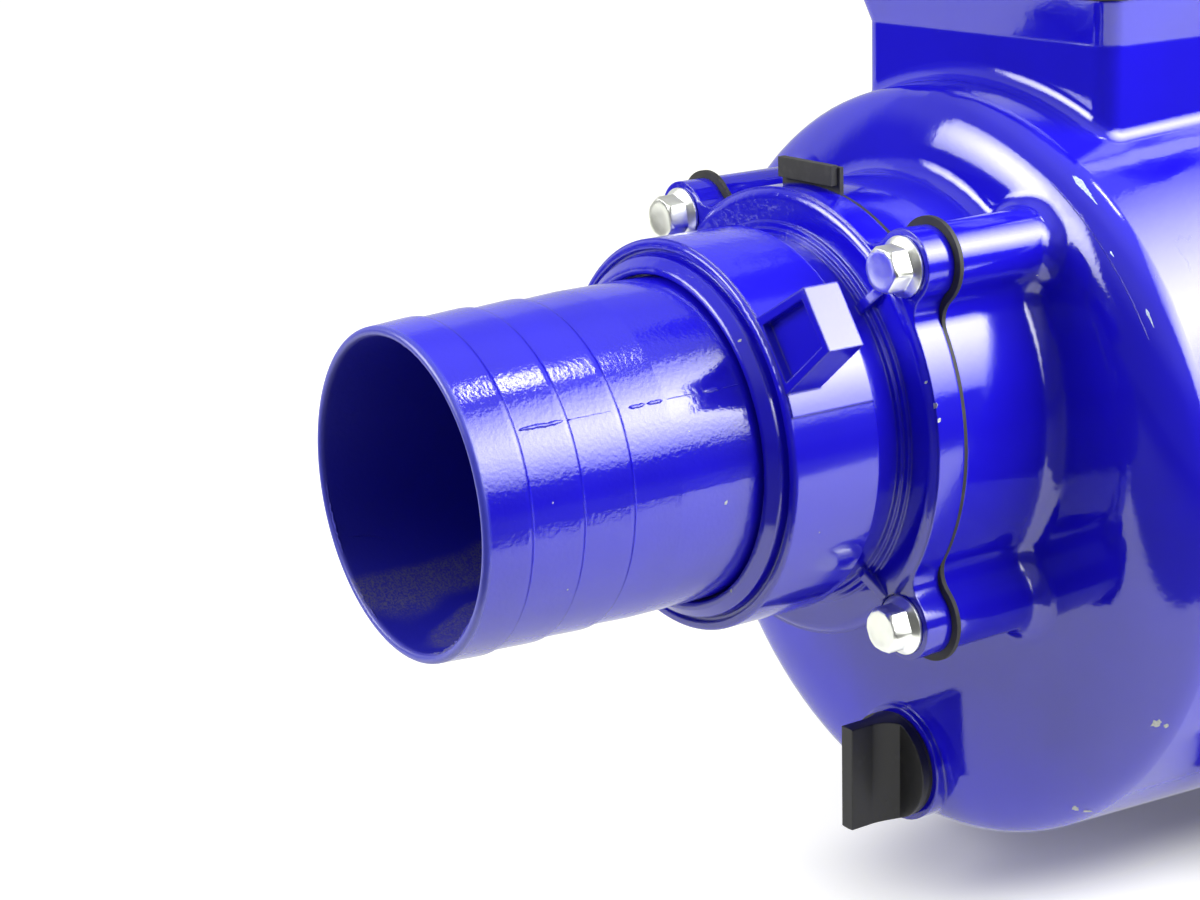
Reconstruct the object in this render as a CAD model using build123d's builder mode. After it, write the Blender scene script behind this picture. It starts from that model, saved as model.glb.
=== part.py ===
from build123d import *
import math
import os

os.makedirs("parts", exist_ok=True)

# Places in millimetres. The floor is z = 0, the suction side looks towards -Y, the pulley
# towards +Y, and the origin is on the floor in the middle of the four foot holes.
rear_set_back = 32.0
casing_length = 200.9
outlet_set_back = 123.9
axis_offset = 29.4
floor_gap = 8.5

# Hose set: the same hose tail, coupling nut and flange stand on both seats. Every
# "reach" is a distance outwards from the casing's seat, along the flow axis.
tail_bore_r = 47.2
tail_wall = 3.8
collar_rise = 5.0
spigot_wall = 6.5
gasket_thick = 1.5
gasket_proud = 2.5
gasket_inset = 0.2
ear_thick = 10.0
plate_thick = 11.4
plate_rim = 10.7
plate_edge_r = 3.5
hub_step = 2.0
hub_height = 1.3
collar_ring_step = 1.7
collar_ring_height = 1.3
neck_ring_step = 2.1
ear_reach = 7.0
ear_r = 11.4
ear_blend_r = 8.0
ear_rib_thick = 3.2
bolt_r = 4.0
bolt_play = 0.5
tapped_r = 3.4
bolt_head_r = 9.5
flap_lap = 7.0
flap_slit = 3.0
flap_hinge_width = 44.0
thread_gap = 0.3
nut_wall = 5.1
nut_gap = 8.9
nut_length = 32.9
nut_lip_gap = 0.8
nut_lip_rise = 4.4
nut_edge_r = 1.2
nut_groove = 1.5
nut_step = 0.5
lug_angle = 35.0
lug_reach = 25.0
lug_root_width = 25.2
lug_tip_width = 20.4
lug_length = 12.5
lug_setback = 1.0
lug_rim = 2.6
lug_floor = 9.5
parting_angle = 17.0
seal_thick = 3.0
collar_thick = 5.5
lip_thick = 6.0
tail_length = 98.8
ridge_first = 15.9
ridge_pitch = 17.25
ridge_count = 3
ridge_drop = 0.8
ridge_rise = 0.8
ridge_step = 0.8
ridge_land = 1.5
tab_width = 29.0
tab_rise = 7.0
tab_block_width = 26.8
tab_block_thick = 2.6
tab_block_lift = 1.2
tab_block_height = 6.4

# Sizes that follow along the hose set
tail_r = tail_bore_r + tail_wall
collar_r = tail_r + collar_rise
spigot_r = collar_r + 0.5
passage_r = spigot_r - spigot_wall
bore_r = spigot_r + thread_gap
nut_r = bore_r + nut_wall
nut_lip_r = tail_r + nut_lip_gap
lug_tip = nut_r + lug_reach
neck_ring_r = spigot_r + neck_ring_step
collar_ring_r = neck_ring_r + collar_ring_step
hub_r = collar_ring_r + hub_step
plate_r = hub_r + plate_rim
ear_pitch_r = plate_r + ear_reach
ear_offset = ear_pitch_r * math.sin(math.radians(45))
bolt_hole_r = bolt_r + bolt_play
flap_seat_r = passage_r - flap_lap
flap_r = flap_seat_r + flap_lap / 2
ridge_root_r = tail_r - ridge_drop
ridge_crest_r = ridge_root_r + ridge_rise
ear_front = gasket_thick + ear_thick
plate_front = gasket_thick + plate_thick
hub_front = plate_front + hub_height
ring_front = hub_front + collar_ring_height
nut_rear_reach = ring_front + nut_gap
nut_front = nut_rear_reach + nut_length
collar_end = nut_front - lip_thick
seal_end = collar_end - collar_thick
spigot_end = seal_end - seal_thick
tail_reach = nut_front + tail_length

# Casing
wall = 6.0
neck_inset = 0.6
neck_length = 35.6
neck_blend_r = 6.4
face_bulge = 2.0
corner_rise = 30.0
corner_depth = 15.1
corner_end = 92.0
drum_margin = 13.5
drum_taper = 7.2
rim_thick = 12.0
rim_rise = 6.5
rim_ears = 8
rim_ear_start = 22.5
rim_ear_inset = 1.0
rim_ear_r = 11.0
rim_boss_length = 26.0
outlet_side_wall = 8.5
outlet_end_wall = 5.0
outlet_corner_r = 6.5
outlet_height = 30.2
outlet_flare = 4.0
outlet_flare_height = 14.5
outlet_blend_r = 6.0
outlet_bolt_inset = 9.5
drain_inset = 23.1
drain_boss_rise = 2.8
filler_beside = 29.5
filler_drop = 9.7
filler_boss = 40.0
tap_depth = 20.0

# Places that follow from the casing's sizes
neck_r = plate_r - neck_inset
drum_r = round(math.hypot(ear_offset, ear_offset + axis_offset) + ear_r + drum_margin, 1)
drum_rear_r = drum_r + drum_taper
face_r = drum_r - corner_rise
rim_r = drum_rear_r + rim_rise
rim_pitch_r = rim_r - rim_ear_inset
drum_axis_z = rim_r + floor_gap
suction_axis_z = drum_axis_z + axis_offset
drum_rear_y = -rear_set_back
suction_seat_y = drum_rear_y - casing_length
face_y = suction_seat_y + neck_length
outlet_y = suction_seat_y + outlet_set_back
outlet_half = passage_r + outlet_side_wall
outlet_depth = 2 * (passage_r + outlet_end_wall)
outlet_seat_z = drum_axis_z + drum_r + outlet_height
outlet_bolt_x = outlet_half - outlet_bolt_inset
outlet_bolt_y = outlet_depth / 2 + outlet_flare - outlet_bolt_inset
drain_z = drum_axis_z - drum_r + drain_inset
drain_seat_y = face_y + face_bulge - drain_boss_rise
filler_x = -outlet_half - filler_beside
filler_y = outlet_y + 9.0
filler_seat_z = drum_axis_z + drum_r - filler_drop

# Wing plugs, one in the drain and one in the filler
plug_r = 18.6
plug_disc = 3.4
plug_seal = 1.4
plug_stem_r = 12.0
plug_stem = 14.0
plug_boss_r = plug_r + 1.9
wing_height = 18.0
wing_tip_thick = 5.5
wing_root_thick = 15.0

# Rear cover, bearing bracket and drive
shaft_r = 14.0
shaft_play = 0.5
cover_gasket = 1.5
cover_thick = 9.0
cover_hub_rim = 4.0
cover_hub_height = 6.0
cover_ribs = 8
cover_rib_thick = 6.0
barrel_wall = 24.0
barrel_length = 58.5
lantern_swell = 4.0
lantern_wall = 7.0
lantern_length = 34.0
window_width = 46.0
bracket_flange = 11.0
bracket_bolt_gap = 10.5
cap_rise = 4.0
cap_thick = 7.0
cap_nose_wall = 10.0
cap_nose = 3.0
cap_screws = 4
cap_screw_r = 3.0
pulley_r = 80.0
pulley_width = 44.0
pulley_gap = 7.0
groove_pitch = 19.0
groove_count = 2
groove_top = 16.5
groove_depth = 14.0
groove_bottom = 8.0
pulley_hub_wall = 13.0
pulley_rim = 7.0
web_thick = 10.0
web_holes = 5
web_hole_r = 8.5
key_width = 8.0
key_height = 7.0
washer_rise = 6.0
washer_thick = 3.0
grease_hex = 9.0
grease_stem_r = 2.9

# Places that follow from the bearing bracket's sizes
barrel_r = shaft_r + barrel_wall
lantern_r = barrel_r + lantern_swell
bracket_pitch_r = lantern_r + lantern_wall + bracket_bolt_gap
bracket_flange_r = bracket_pitch_r + bracket_bolt_gap
cover_hub_r = bracket_flange_r + cover_hub_rim
cap_r = barrel_r + cap_rise
cap_nose_r = shaft_r + cap_nose_wall
cap_pitch_r = (cap_nose_r + cap_r) / 2
pulley_hub_r = shaft_r + pulley_hub_wall
washer_r = shaft_r + washer_rise

# Feet
foot_x = 95.0
foot_y = 70.0
foot_length = 56.0
foot_width = 46.0
foot_thick = 12.0
foot_hole_r = 6.0
foot_corner_r = 8.0
leg_thick = 12.0
leg_out_angle = 24.0
leg_in_angle = 67.0
rib_thick = 9.0
rib_height = 30.0

# Working planes: their normals point outwards along the flow or the shaft
suction_side = Plane(origin=(0, suction_seat_y, suction_axis_z), x_dir=(1, 0, 0), z_dir=(0, -1, 0))
outlet_side = Plane(origin=(0, outlet_y, outlet_seat_z), x_dir=(1, 0, 0), z_dir=(0, 0, 1))
rear_side = Plane(origin=(0, 0, drum_axis_z), x_dir=(-1, 0, 0), z_dir=(0, 1, 0))
drum_axis = Axis((0, 0, drum_axis_z), (0, 1, 0))
cover_y = drum_rear_y + cover_gasket
bracket_y = cover_y + cover_thick + cover_hub_height
barrel_y = bracket_y + bracket_flange + lantern_length
barrel_end_y = barrel_y + barrel_length
pulley_y = barrel_end_y + cap_thick + cap_nose + pulley_gap


def lengthwise(side):
    """The plane that holds a side's axis, for profiles: across it is x, outwards is y."""
    return Plane(origin=side.origin, x_dir=side.x_dir, z_dir=-side.y_dir)


def out_axis(side):
    """The axis of a side, pointing outwards."""
    return Axis(side.origin, side.z_dir)


def radial_plane(side, angle):
    """The lengthwise plane turned round the axis, for a rib at that angle."""
    across = side.x_dir * math.cos(math.radians(angle)) + side.y_dir * math.sin(math.radians(angle))
    return Plane(origin=side.origin, x_dir=across, z_dir=across.cross(side.z_dir))


def eared_outline(disc_r, boss_r):
    """Round plate with four ears on its diagonals; it joins the sketch that is open."""
    Circle(disc_r)
    with PolarLocations(0, 4, start_angle=45):
        Rectangle(ear_pitch_r, 2 * boss_r, align=(Align.MIN, Align.CENTER))
    with PolarLocations(ear_pitch_r, 4, start_angle=45):
        Circle(boss_r)


def hollow_corners(sketch, disc_r):
    """The sketch corners where an ear leaves the round plate."""
    return [v for v in sketch.vertices() if abs(math.hypot(v.X, v.Y) - disc_r) < 0.01]


def make_hose_tail(side):
    """Barbed tube: collar for the nut, plain stretch, three saw-tooth ridges, round rim."""
    rim_thick_half = (ridge_root_r - tail_bore_r) / 2
    rim_start = tail_reach - rim_thick_half
    points = [(tail_bore_r, seal_end), (collar_r, seal_end), (collar_r, collar_end)]
    shoulder = tail_reach - ridge_first - ridge_count * ridge_pitch + ridge_land
    points += [(tail_r, collar_end), (tail_r, shoulder)]
    for ridge in reversed(range(ridge_count)):
        step = tail_reach - ridge_first - ridge * ridge_pitch
        points += [(ridge_root_r, step), (ridge_crest_r, step + ridge_step)]
        points += [(ridge_crest_r, step + ridge_step + ridge_land)]
    points += [(ridge_root_r, rim_start)]
    with BuildPart() as tail:
        with BuildSketch(lengthwise(side)):
            with BuildLine():
                outline = Polyline(*points)
                rim = ThreePointArc(
                    outline @ 1, (tail_bore_r + rim_thick_half, tail_reach), (tail_bore_r, rim_start)
                )
                Line(rim @ 1, outline @ 0)
            make_face()
        revolve(axis=out_axis(side))
    return tail


def make_tail_seal(side):
    """Flat rubber ring between the hose tail and the flange's spigot."""
    with BuildPart() as seal:
        with BuildSketch(side.offset(spigot_end)):
            Circle(collar_r)
            Circle(tail_bore_r + 1, mode=Mode.SUBTRACT)
        extrude(amount=seal_thick)
    return seal


def lug_outline(root, tip, root_half, tip_half):
    """One wrench lug seen along the axis: wide at the nut, narrow at the tip."""
    Polygon((root, -root_half), (tip, -tip_half), (tip, tip_half), (root, root_half), align=None)


def make_coupling_nut(side):
    """Round nut: lip round the tail, groove, edge, a casting step and two pocketed lugs."""
    lip_top = nut_front + nut_lip_rise
    groove_floor = nut_front - nut_groove
    with BuildPart() as nut:
        with BuildSketch(lengthwise(side)):
            with BuildLine():
                body = Polyline(
                    (nut_lip_r, lip_top - 1.0),
                    (nut_lip_r, collar_end),
                    (bore_r, collar_end),
                    (bore_r, nut_rear_reach + 1.2),
                    (bore_r + 1.2, nut_rear_reach),
                    (nut_r - 1.0, nut_rear_reach),
                    (nut_r, nut_rear_reach + 1.0),
                    (nut_r, nut_front - nut_edge_r),
                )
                edge = RadiusArc(body @ 1, (nut_r - nut_edge_r, nut_front), -nut_edge_r)
                front = Polyline(
                    edge @ 1,
                    (nut_r - 2.6, nut_front),
                    (nut_r - 3.0, groove_floor),
                    (nut_r - 4.2, groove_floor),
                    (nut_r - 4.8, nut_front + 1.8),
                    (nut_lip_r + 2.6, lip_top - 0.1),
                )
                ThreePointArc(front @ 1, (nut_lip_r + 0.9, lip_top), body @ 0)
            make_face()
        revolve(axis=out_axis(side))
        with BuildSketch(side.offset(nut_rear_reach + 1.0)):
            Circle(nut_r + nut_step)
            Circle(nut_r - 1, mode=Mode.SUBTRACT)
            with Locations(Location((0, 0, 0), (0, 0, parting_angle))):
                Rectangle(4 * nut_r, 2 * nut_r, align=(Align.CENTER, Align.MAX), mode=Mode.SUBTRACT)
        extrude(amount=nut_length - 1.0 - nut_edge_r)
        with BuildSketch(side.offset(nut_front - lug_setback)):
            with PolarLocations(0, 2, start_angle=lug_angle):
                lug_outline(nut_r - 3.5, lug_tip, lug_root_width / 2, lug_tip_width / 2)
        extrude(amount=-lug_length)
        with BuildSketch(side.offset(nut_front - lug_setback)):
            with PolarLocations(0, 2, start_angle=lug_angle):
                lug_outline(
                    nut_r + 0.9,
                    lug_tip - lug_rim,
                    lug_root_width / 2 - lug_rim - 0.6,
                    lug_tip_width / 2 - lug_rim,
                )
        extrude(amount=lug_floor - lug_length, mode=Mode.SUBTRACT)
    return nut


def make_flange(side):
    """Suction flange: flap seat, plate, two fine hub rings, spigot, ears and their ribs."""
    with BuildPart() as flange:
        with BuildSketch(lengthwise(side)):
            with BuildLine():
                back = Polyline(
                    (passage_r, plate_front + 4),
                    (flap_seat_r, plate_front - 4),
                    (flap_seat_r, gasket_thick),
                    (plate_r, gasket_thick),
                    (plate_r, plate_front - plate_edge_r),
                )
                edge = RadiusArc(back @ 1, (plate_r - plate_edge_r, plate_front), -plate_edge_r)
                Polyline(
                    edge @ 1,
                    (hub_r, plate_front),
                    (hub_r, hub_front),
                    (collar_ring_r, hub_front),
                    (collar_ring_r, ring_front),
                    (neck_ring_r, ring_front),
                    (neck_ring_r, nut_rear_reach - 1.2),
                    (spigot_r, nut_rear_reach - 1.2),
                    (spigot_r, spigot_end),
                    (passage_r, spigot_end),
                    back @ 0,
                )
            make_face()
        revolve(axis=out_axis(side))
        with BuildSketch(side.offset(gasket_thick)) as ears:
            eared_outline(plate_r, ear_r)
            fillet(hollow_corners(ears, plate_r), ear_blend_r)
            Circle(plate_r - plate_edge_r, mode=Mode.SUBTRACT)
        extrude(amount=ear_thick)
        for corner in range(4):
            with BuildSketch(radial_plane(side, 45 + 90 * corner)):
                Polygon(
                    (neck_ring_r - 1, gasket_thick + 1),
                    (ear_pitch_r, gasket_thick + 1),
                    (ear_pitch_r, ear_front - 1.5),
                    (collar_ring_r + 0.8, ring_front + 1.2),
                    (neck_ring_r - 1, ring_front + 1.2),
                    align=None,
                )
            extrude(amount=ear_rib_thick / 2, both=True)
        with BuildSketch(side.offset(ear_front)):
            with PolarLocations(ear_pitch_r, 4, start_angle=45):
                Circle(bolt_head_r + 0.4)
        extrude(amount=hub_front, mode=Mode.SUBTRACT)
        with BuildSketch(side.offset(gasket_thick)):
            with PolarLocations(ear_pitch_r, 4, start_angle=45):
                Circle(bolt_hole_r)
        extrude(amount=ear_thick, mode=Mode.SUBTRACT)
    return flange


# Suction side
suction_hose_tail = make_hose_tail(suction_side)
suction_hose_tail.part.label = "suction_hose_tail"
export_step(suction_hose_tail.part, "parts/suction_hose_tail.step")

suction_tail_seal = make_tail_seal(suction_side)
suction_tail_seal.part.label = "suction_tail_seal"
export_step(suction_tail_seal.part, "parts/suction_tail_seal.step")

suction_nut = make_coupling_nut(suction_side)
suction_nut.part.label = "suction_coupling_nut"
export_step(suction_nut.part, "parts/suction_coupling_nut.step")

suction_flange = make_flange(suction_side)
suction_flange.part.label = "suction_flange"
export_step(suction_flange.part, "parts/suction_flange.step")

# Rubber check gasket: its ears and tab stand proud, and its flap closes the suction
with BuildPart() as check_gasket:
    with BuildSketch(suction_side) as sheet:
        eared_outline(plate_r - gasket_inset, ear_r + gasket_proud)
        fillet(hollow_corners(sheet, plate_r - gasket_inset), ear_blend_r)
        with PolarLocations(ear_pitch_r, 4, start_angle=45):
            Circle(bolt_hole_r, mode=Mode.SUBTRACT)
        with Locations((0, plate_r - 4)):
            Rectangle(tab_width, tab_rise + 4, align=(Align.CENTER, Align.MIN))
    extrude(amount=gasket_thick)
    with BuildSketch(suction_side.offset(gasket_thick)):
        with Locations((0, plate_r + tab_block_lift)):
            Rectangle(tab_block_width, tab_block_height, align=(Align.CENTER, Align.MIN))
    extrude(amount=tab_block_thick)
    with BuildSketch(suction_side):
        Circle(flap_r + flap_slit)
        Circle(flap_r, mode=Mode.SUBTRACT)
        with Locations((0, flap_r)):
            Rectangle(flap_hinge_width, 3 * flap_r / 2, mode=Mode.SUBTRACT)
    extrude(amount=gasket_thick, mode=Mode.SUBTRACT)
check_gasket.part.label = "suction_check_gasket"
export_step(check_gasket.part, "parts/suction_check_gasket.step")

# The plane of the drum's profiles: x runs rearwards along Y, y is the radius
drum_profile = Plane(origin=(0, 0, drum_axis_z), x_dir=(0, 1, 0), z_dir=(1, 0, 0))


def drum_outline(inset, rear_y):
    """Half the drum: bulged front face, wide round corner, then the conical side."""
    with BuildLine() as outline:
        corner = EllipticalCenterArc(
            (face_y + face_bulge + corner_depth, face_r),
            corner_depth - inset,
            drum_r - face_r - inset,
            start_angle=corner_end,
            arc_size=180 - corner_end,
        )
        middle_y = face_y + inset
        end = corner @ 1
        face = ThreePointArc(end, (middle_y + (end.X - middle_y) / 4, end.Y / 2), (middle_y, 0))
        Polyline(face @ 1, (rear_y, 0), (rear_y, drum_rear_r - inset), corner @ 0)
    return outline.line


def on_drum(radius, angle):
    """A point of the drum's section: x and z at an angle below the horizontal."""
    turn = math.radians(angle)
    return (radius * math.cos(turn), drum_axis_z - radius * math.sin(turn))


def leg_outline(side_x, hip, inner):
    """One cast leg seen along Y, from its pad up into the body."""
    Polygon(
        (side_x * (foot_x - foot_width / 2), 0),
        (side_x * (foot_x + foot_width / 2), 0),
        (side_x * (foot_x + foot_width / 2), foot_thick),
        (side_x * hip[0], hip[1]),
        (side_x * inner[0], inner[1]),
        (side_x * (foot_x - foot_width / 2), foot_thick),
        align=None,
    )


def foot_pads(pad_y):
    """Rounded outlines of a left and a right foot pad."""
    with Locations((foot_x, pad_y), (-foot_x, pad_y)):
        RectangleRounded(foot_width, foot_length, foot_corner_r)


def near(edge, low, high):
    """Whether the whole edge lies in the box between two corners."""
    box = edge.bounding_box()
    inside = [box.min.X >= low[0], box.min.Y >= low[1], box.min.Z >= low[2]]
    inside += [box.max.X <= high[0], box.max.Y <= high[1], box.max.Z <= high[2]]
    return all(inside)


# Pump casing: bulged drum, round suction neck with four bosses and square outlet neck
with BuildPart() as casing:
    with BuildSketch(drum_profile):
        add(drum_outline(0, drum_rear_y))
        make_face()
    revolve(axis=drum_axis)
    with BuildSketch(suction_side) as neck:
        eared_outline(neck_r, ear_r)
        fillet(hollow_corners(neck, neck_r), ear_blend_r)
    extrude(amount=suction_seat_y - face_y - 8)
    foot_r = ear_pitch_r + 1
    neck_low = (-foot_r, face_y - 1, suction_axis_z - foot_r)
    neck_high = (foot_r, face_y + face_bulge + 3.5, suction_axis_z + foot_r)
    neck_foot = [e for e in casing.edges() if near(e, neck_low, neck_high)]
    fillet(neck_foot, neck_blend_r)
    with BuildSketch(outlet_side.offset(-outlet_flare_height)):
        RectangleRounded(2 * outlet_half, outlet_depth, outlet_corner_r)
    extrude(amount=-outlet_height - drum_r / 4)
    outlet_low = (-outlet_half - 1, outlet_y - outlet_depth / 2 - 1, drum_axis_z)
    outlet_high = (outlet_half + 1, outlet_y + outlet_depth / 2 + 1, drum_axis_z + drum_rear_r + 1)
    outlet_foot = [e for e in casing.edges() if near(e, outlet_low, outlet_high)]
    fillet(outlet_foot, outlet_blend_r)
    with BuildSketch(outlet_side.offset(-outlet_flare_height)):
        RectangleRounded(2 * outlet_half, outlet_depth, outlet_corner_r)
    with BuildSketch(outlet_side):
        RectangleRounded(
            2 * (outlet_half + outlet_flare), outlet_depth + 2 * outlet_flare, outlet_corner_r
        )
    loft()
    with BuildSketch(rear_side.offset(drum_rear_y - rim_thick)):
        Circle(rim_r)
    extrude(amount=rim_thick)
    with BuildSketch(rear_side.offset(drum_rear_y - rim_boss_length)):
        with PolarLocations(rim_pitch_r, rim_ears, start_angle=rim_ear_start):
            Circle(rim_ear_r)
    extrude(amount=rim_boss_length)
    with BuildSketch(Plane.XZ.offset(-drain_seat_y)):
        with Locations((0, drain_z)):
            Circle(plug_boss_r)
    extrude(amount=-12)
    with BuildSketch(Plane.XY.offset(filler_seat_z)):
        with Locations((filler_x, filler_y)):
            Circle(plug_boss_r)
    extrude(amount=-filler_boss)
    for side_x in (-1, 1):
        with BuildSketch(Plane.XZ.offset(foot_y)):
            hip = on_drum(drum_r - 4, leg_out_angle)
            leg_outline(side_x, hip, on_drum(drum_r - 14, leg_in_angle))
        extrude(amount=leg_thick / 2, both=True)
        with BuildSketch(Plane.YZ.offset(side_x * foot_x)):
            top_z = drum_axis_z - math.sqrt(drum_r**2 - foot_x**2) + wall + 2
            Polygon(
                (-foot_y - foot_length / 2 + 4, foot_thick),
                (-foot_y + foot_length / 2 - 4, foot_thick),
                (-foot_y + 16, top_z),
                (-foot_y - 16, top_z),
                align=None,
            )
        extrude(amount=rib_thick / 2, both=True)
    with BuildSketch(Plane.XY):
        foot_pads(-foot_y)
    extrude(amount=foot_thick)
    with BuildSketch(drum_profile):
        add(drum_outline(wall, drum_rear_y + 1))
        make_face()
    revolve(axis=drum_axis, mode=Mode.SUBTRACT)
    with BuildSketch(suction_side):
        Circle(passage_r)
    extrude(amount=suction_seat_y - face_y - 20, mode=Mode.SUBTRACT)
    with BuildSketch(outlet_side):
        Circle(passage_r)
    extrude(amount=-outlet_height - drum_r / 3, mode=Mode.SUBTRACT)
    with BuildSketch(suction_side):
        with PolarLocations(ear_pitch_r, 4, start_angle=45):
            Circle(tapped_r)
    extrude(amount=-tap_depth, mode=Mode.SUBTRACT)
    with BuildSketch(outlet_side):
        with GridLocations(2 * outlet_bolt_x, 2 * outlet_bolt_y, 2, 2):
            Circle(tapped_r)
    extrude(amount=-tap_depth, mode=Mode.SUBTRACT)
    with BuildSketch(rear_side.offset(drum_rear_y)):
        with PolarLocations(rim_pitch_r, rim_ears, start_angle=rim_ear_start):
            Circle(tapped_r)
    extrude(amount=-tap_depth, mode=Mode.SUBTRACT)
    with BuildSketch(Plane.XZ.offset(-drain_seat_y)):
        with Locations((0, drain_z)):
            Circle(plug_stem_r + thread_gap)
    extrude(amount=-16, mode=Mode.SUBTRACT)
    with BuildSketch(Plane.XY.offset(filler_seat_z)):
        with Locations((filler_x, filler_y)):
            Circle(plug_stem_r + thread_gap)
    extrude(amount=-filler_boss, mode=Mode.SUBTRACT)
    with BuildSketch(Plane.XY):
        with Locations((foot_x, -foot_y), (-foot_x, -foot_y)):
            Circle(foot_hole_r)
    extrude(amount=foot_thick, mode=Mode.SUBTRACT)
casing.part.label = "pump_casing"
export_step(casing.part, "parts/pump_casing.step")


def make_plug(seat):
    """Wing plug: stem, disc and a blade that widens in hollow curves towards the disc."""
    foot = plug_seal + plug_disc
    tip = foot + wing_height
    with BuildPart() as plug:
        with BuildSketch(lengthwise(seat)):
            with BuildLine():
                right = Line((wing_tip_thick / 2, tip), (wing_tip_thick / 2, foot + 9))
                flank = ThreePointArc(
                    right @ 1, (wing_tip_thick / 2 + 1.2, foot + 4), (wing_root_thick / 2, foot - 1)
                )
                base = Line(flank @ 1, (-wing_root_thick / 2, foot - 1))
                left = ThreePointArc(
                    base @ 1, (-wing_tip_thick / 2 - 1.2, foot + 4), (-wing_tip_thick / 2, foot + 9)
                )
                Polyline(left @ 1, (-wing_tip_thick / 2, tip), right @ 0)
            make_face()
        extrude(amount=plug_r, both=True)
        with BuildSketch(seat.offset(plug_seal)):
            Circle(plug_r)
        extrude(amount=wing_height + plug_disc, mode=Mode.INTERSECT)
        with BuildSketch(seat.offset(plug_seal)):
            Circle(plug_r)
        extrude(amount=plug_disc)
        with BuildSketch(seat.offset(plug_seal - plug_stem)):
            Circle(plug_stem_r)
        extrude(amount=plug_stem)
    return plug


def make_plug_seal(seat):
    """Flat ring under a wing plug."""
    with BuildPart() as seal:
        with BuildSketch(seat):
            Circle(plug_r - 0.6)
            Circle(plug_stem_r + thread_gap, mode=Mode.SUBTRACT)
        extrude(amount=plug_seal)
    return seal


drain_seat = Plane(origin=(0, drain_seat_y, drain_z), x_dir=(1, 0, 0), z_dir=(0, -1, 0))
drain_plug = make_plug(drain_seat)
drain_plug.part.label = "drain_plug"
export_step(drain_plug.part, "parts/drain_plug.step")
drain_seal = make_plug_seal(drain_seat)
drain_seal.part.label = "drain_plug_seal"
export_step(drain_seal.part, "parts/drain_plug_seal.step")

filler_seat = Plane(origin=(filler_x, filler_y, filler_seat_z), x_dir=(1, 0, 0), z_dir=(0, 0, 1))
filler_plug = make_plug(filler_seat)
filler_plug.part.label = "filler_plug"
export_step(filler_plug.part, "parts/filler_plug.step")
filler_seal = make_plug_seal(filler_seat)
filler_seal.part.label = "filler_plug_seal"
export_step(filler_seal.part, "parts/filler_plug_seal.step")

# Outlet side
outlet_hose_tail = make_hose_tail(outlet_side)
outlet_hose_tail.part.label = "outlet_hose_tail"
export_step(outlet_hose_tail.part, "parts/outlet_hose_tail.step")

outlet_tail_seal = make_tail_seal(outlet_side)
outlet_tail_seal.part.label = "outlet_tail_seal"
export_step(outlet_tail_seal.part, "parts/outlet_tail_seal.step")

outlet_nut = make_coupling_nut(outlet_side)
outlet_nut.part.label = "outlet_coupling_nut"
export_step(outlet_nut.part, "parts/outlet_coupling_nut.step")


def outlet_outline(extra):
    """The outlet flange's outline with its four bolt holes."""
    RectangleRounded(
        2 * (outlet_half + outlet_flare + extra),
        outlet_depth + 2 * (outlet_flare + extra),
        outlet_corner_r + extra,
    )
    with GridLocations(2 * outlet_bolt_x, 2 * outlet_bolt_y, 2, 2):
        Circle(bolt_hole_r, mode=Mode.SUBTRACT)


with BuildPart() as outlet_gasket:
    with BuildSketch(outlet_side):
        outlet_outline(0.5)
        Circle(passage_r, mode=Mode.SUBTRACT)
    extrude(amount=gasket_thick)
outlet_gasket.part.label = "outlet_gasket"
export_step(outlet_gasket.part, "parts/outlet_gasket.step")

with BuildPart() as outlet_flange:
    with BuildSketch(outlet_side.offset(gasket_thick)):
        outlet_outline(0)
    extrude(amount=plate_thick)
    with BuildSketch(lengthwise(outlet_side)):
        Polygon(
            (0, plate_front),
            (hub_r - 4.2, plate_front),
            (neck_ring_r - 1, plate_front + 6),
            (neck_ring_r - 1, nut_rear_reach - 1.2),
            (spigot_r, nut_rear_reach - 1.2),
            (spigot_r, spigot_end),
            (0, spigot_end),
            align=None,
        )
    revolve(axis=out_axis(outlet_side))
    with BuildSketch(outlet_side.offset(gasket_thick)):
        Circle(passage_r)
    extrude(amount=spigot_end, mode=Mode.SUBTRACT)
outlet_flange.part.label = "outlet_flange"
export_step(outlet_flange.part, "parts/outlet_flange.step")


def rim_outline(centre_r):
    """The casing rim's outline with its ears, bolt holes and a round middle hole."""
    Circle(rim_r)
    with PolarLocations(rim_pitch_r, rim_ears, start_angle=rim_ear_start):
        Circle(rim_ear_r)
    with PolarLocations(rim_pitch_r, rim_ears, start_angle=rim_ear_start):
        Circle(bolt_hole_r, mode=Mode.SUBTRACT)
    Circle(centre_r, mode=Mode.SUBTRACT)


with BuildPart() as rear_gasket:
    with BuildSketch(rear_side.offset(drum_rear_y)):
        rim_outline(drum_rear_r - wall)
    extrude(amount=cover_gasket)
rear_gasket.part.label = "rear_cover_gasket"
export_step(rear_gasket.part, "parts/rear_cover_gasket.step")

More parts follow.
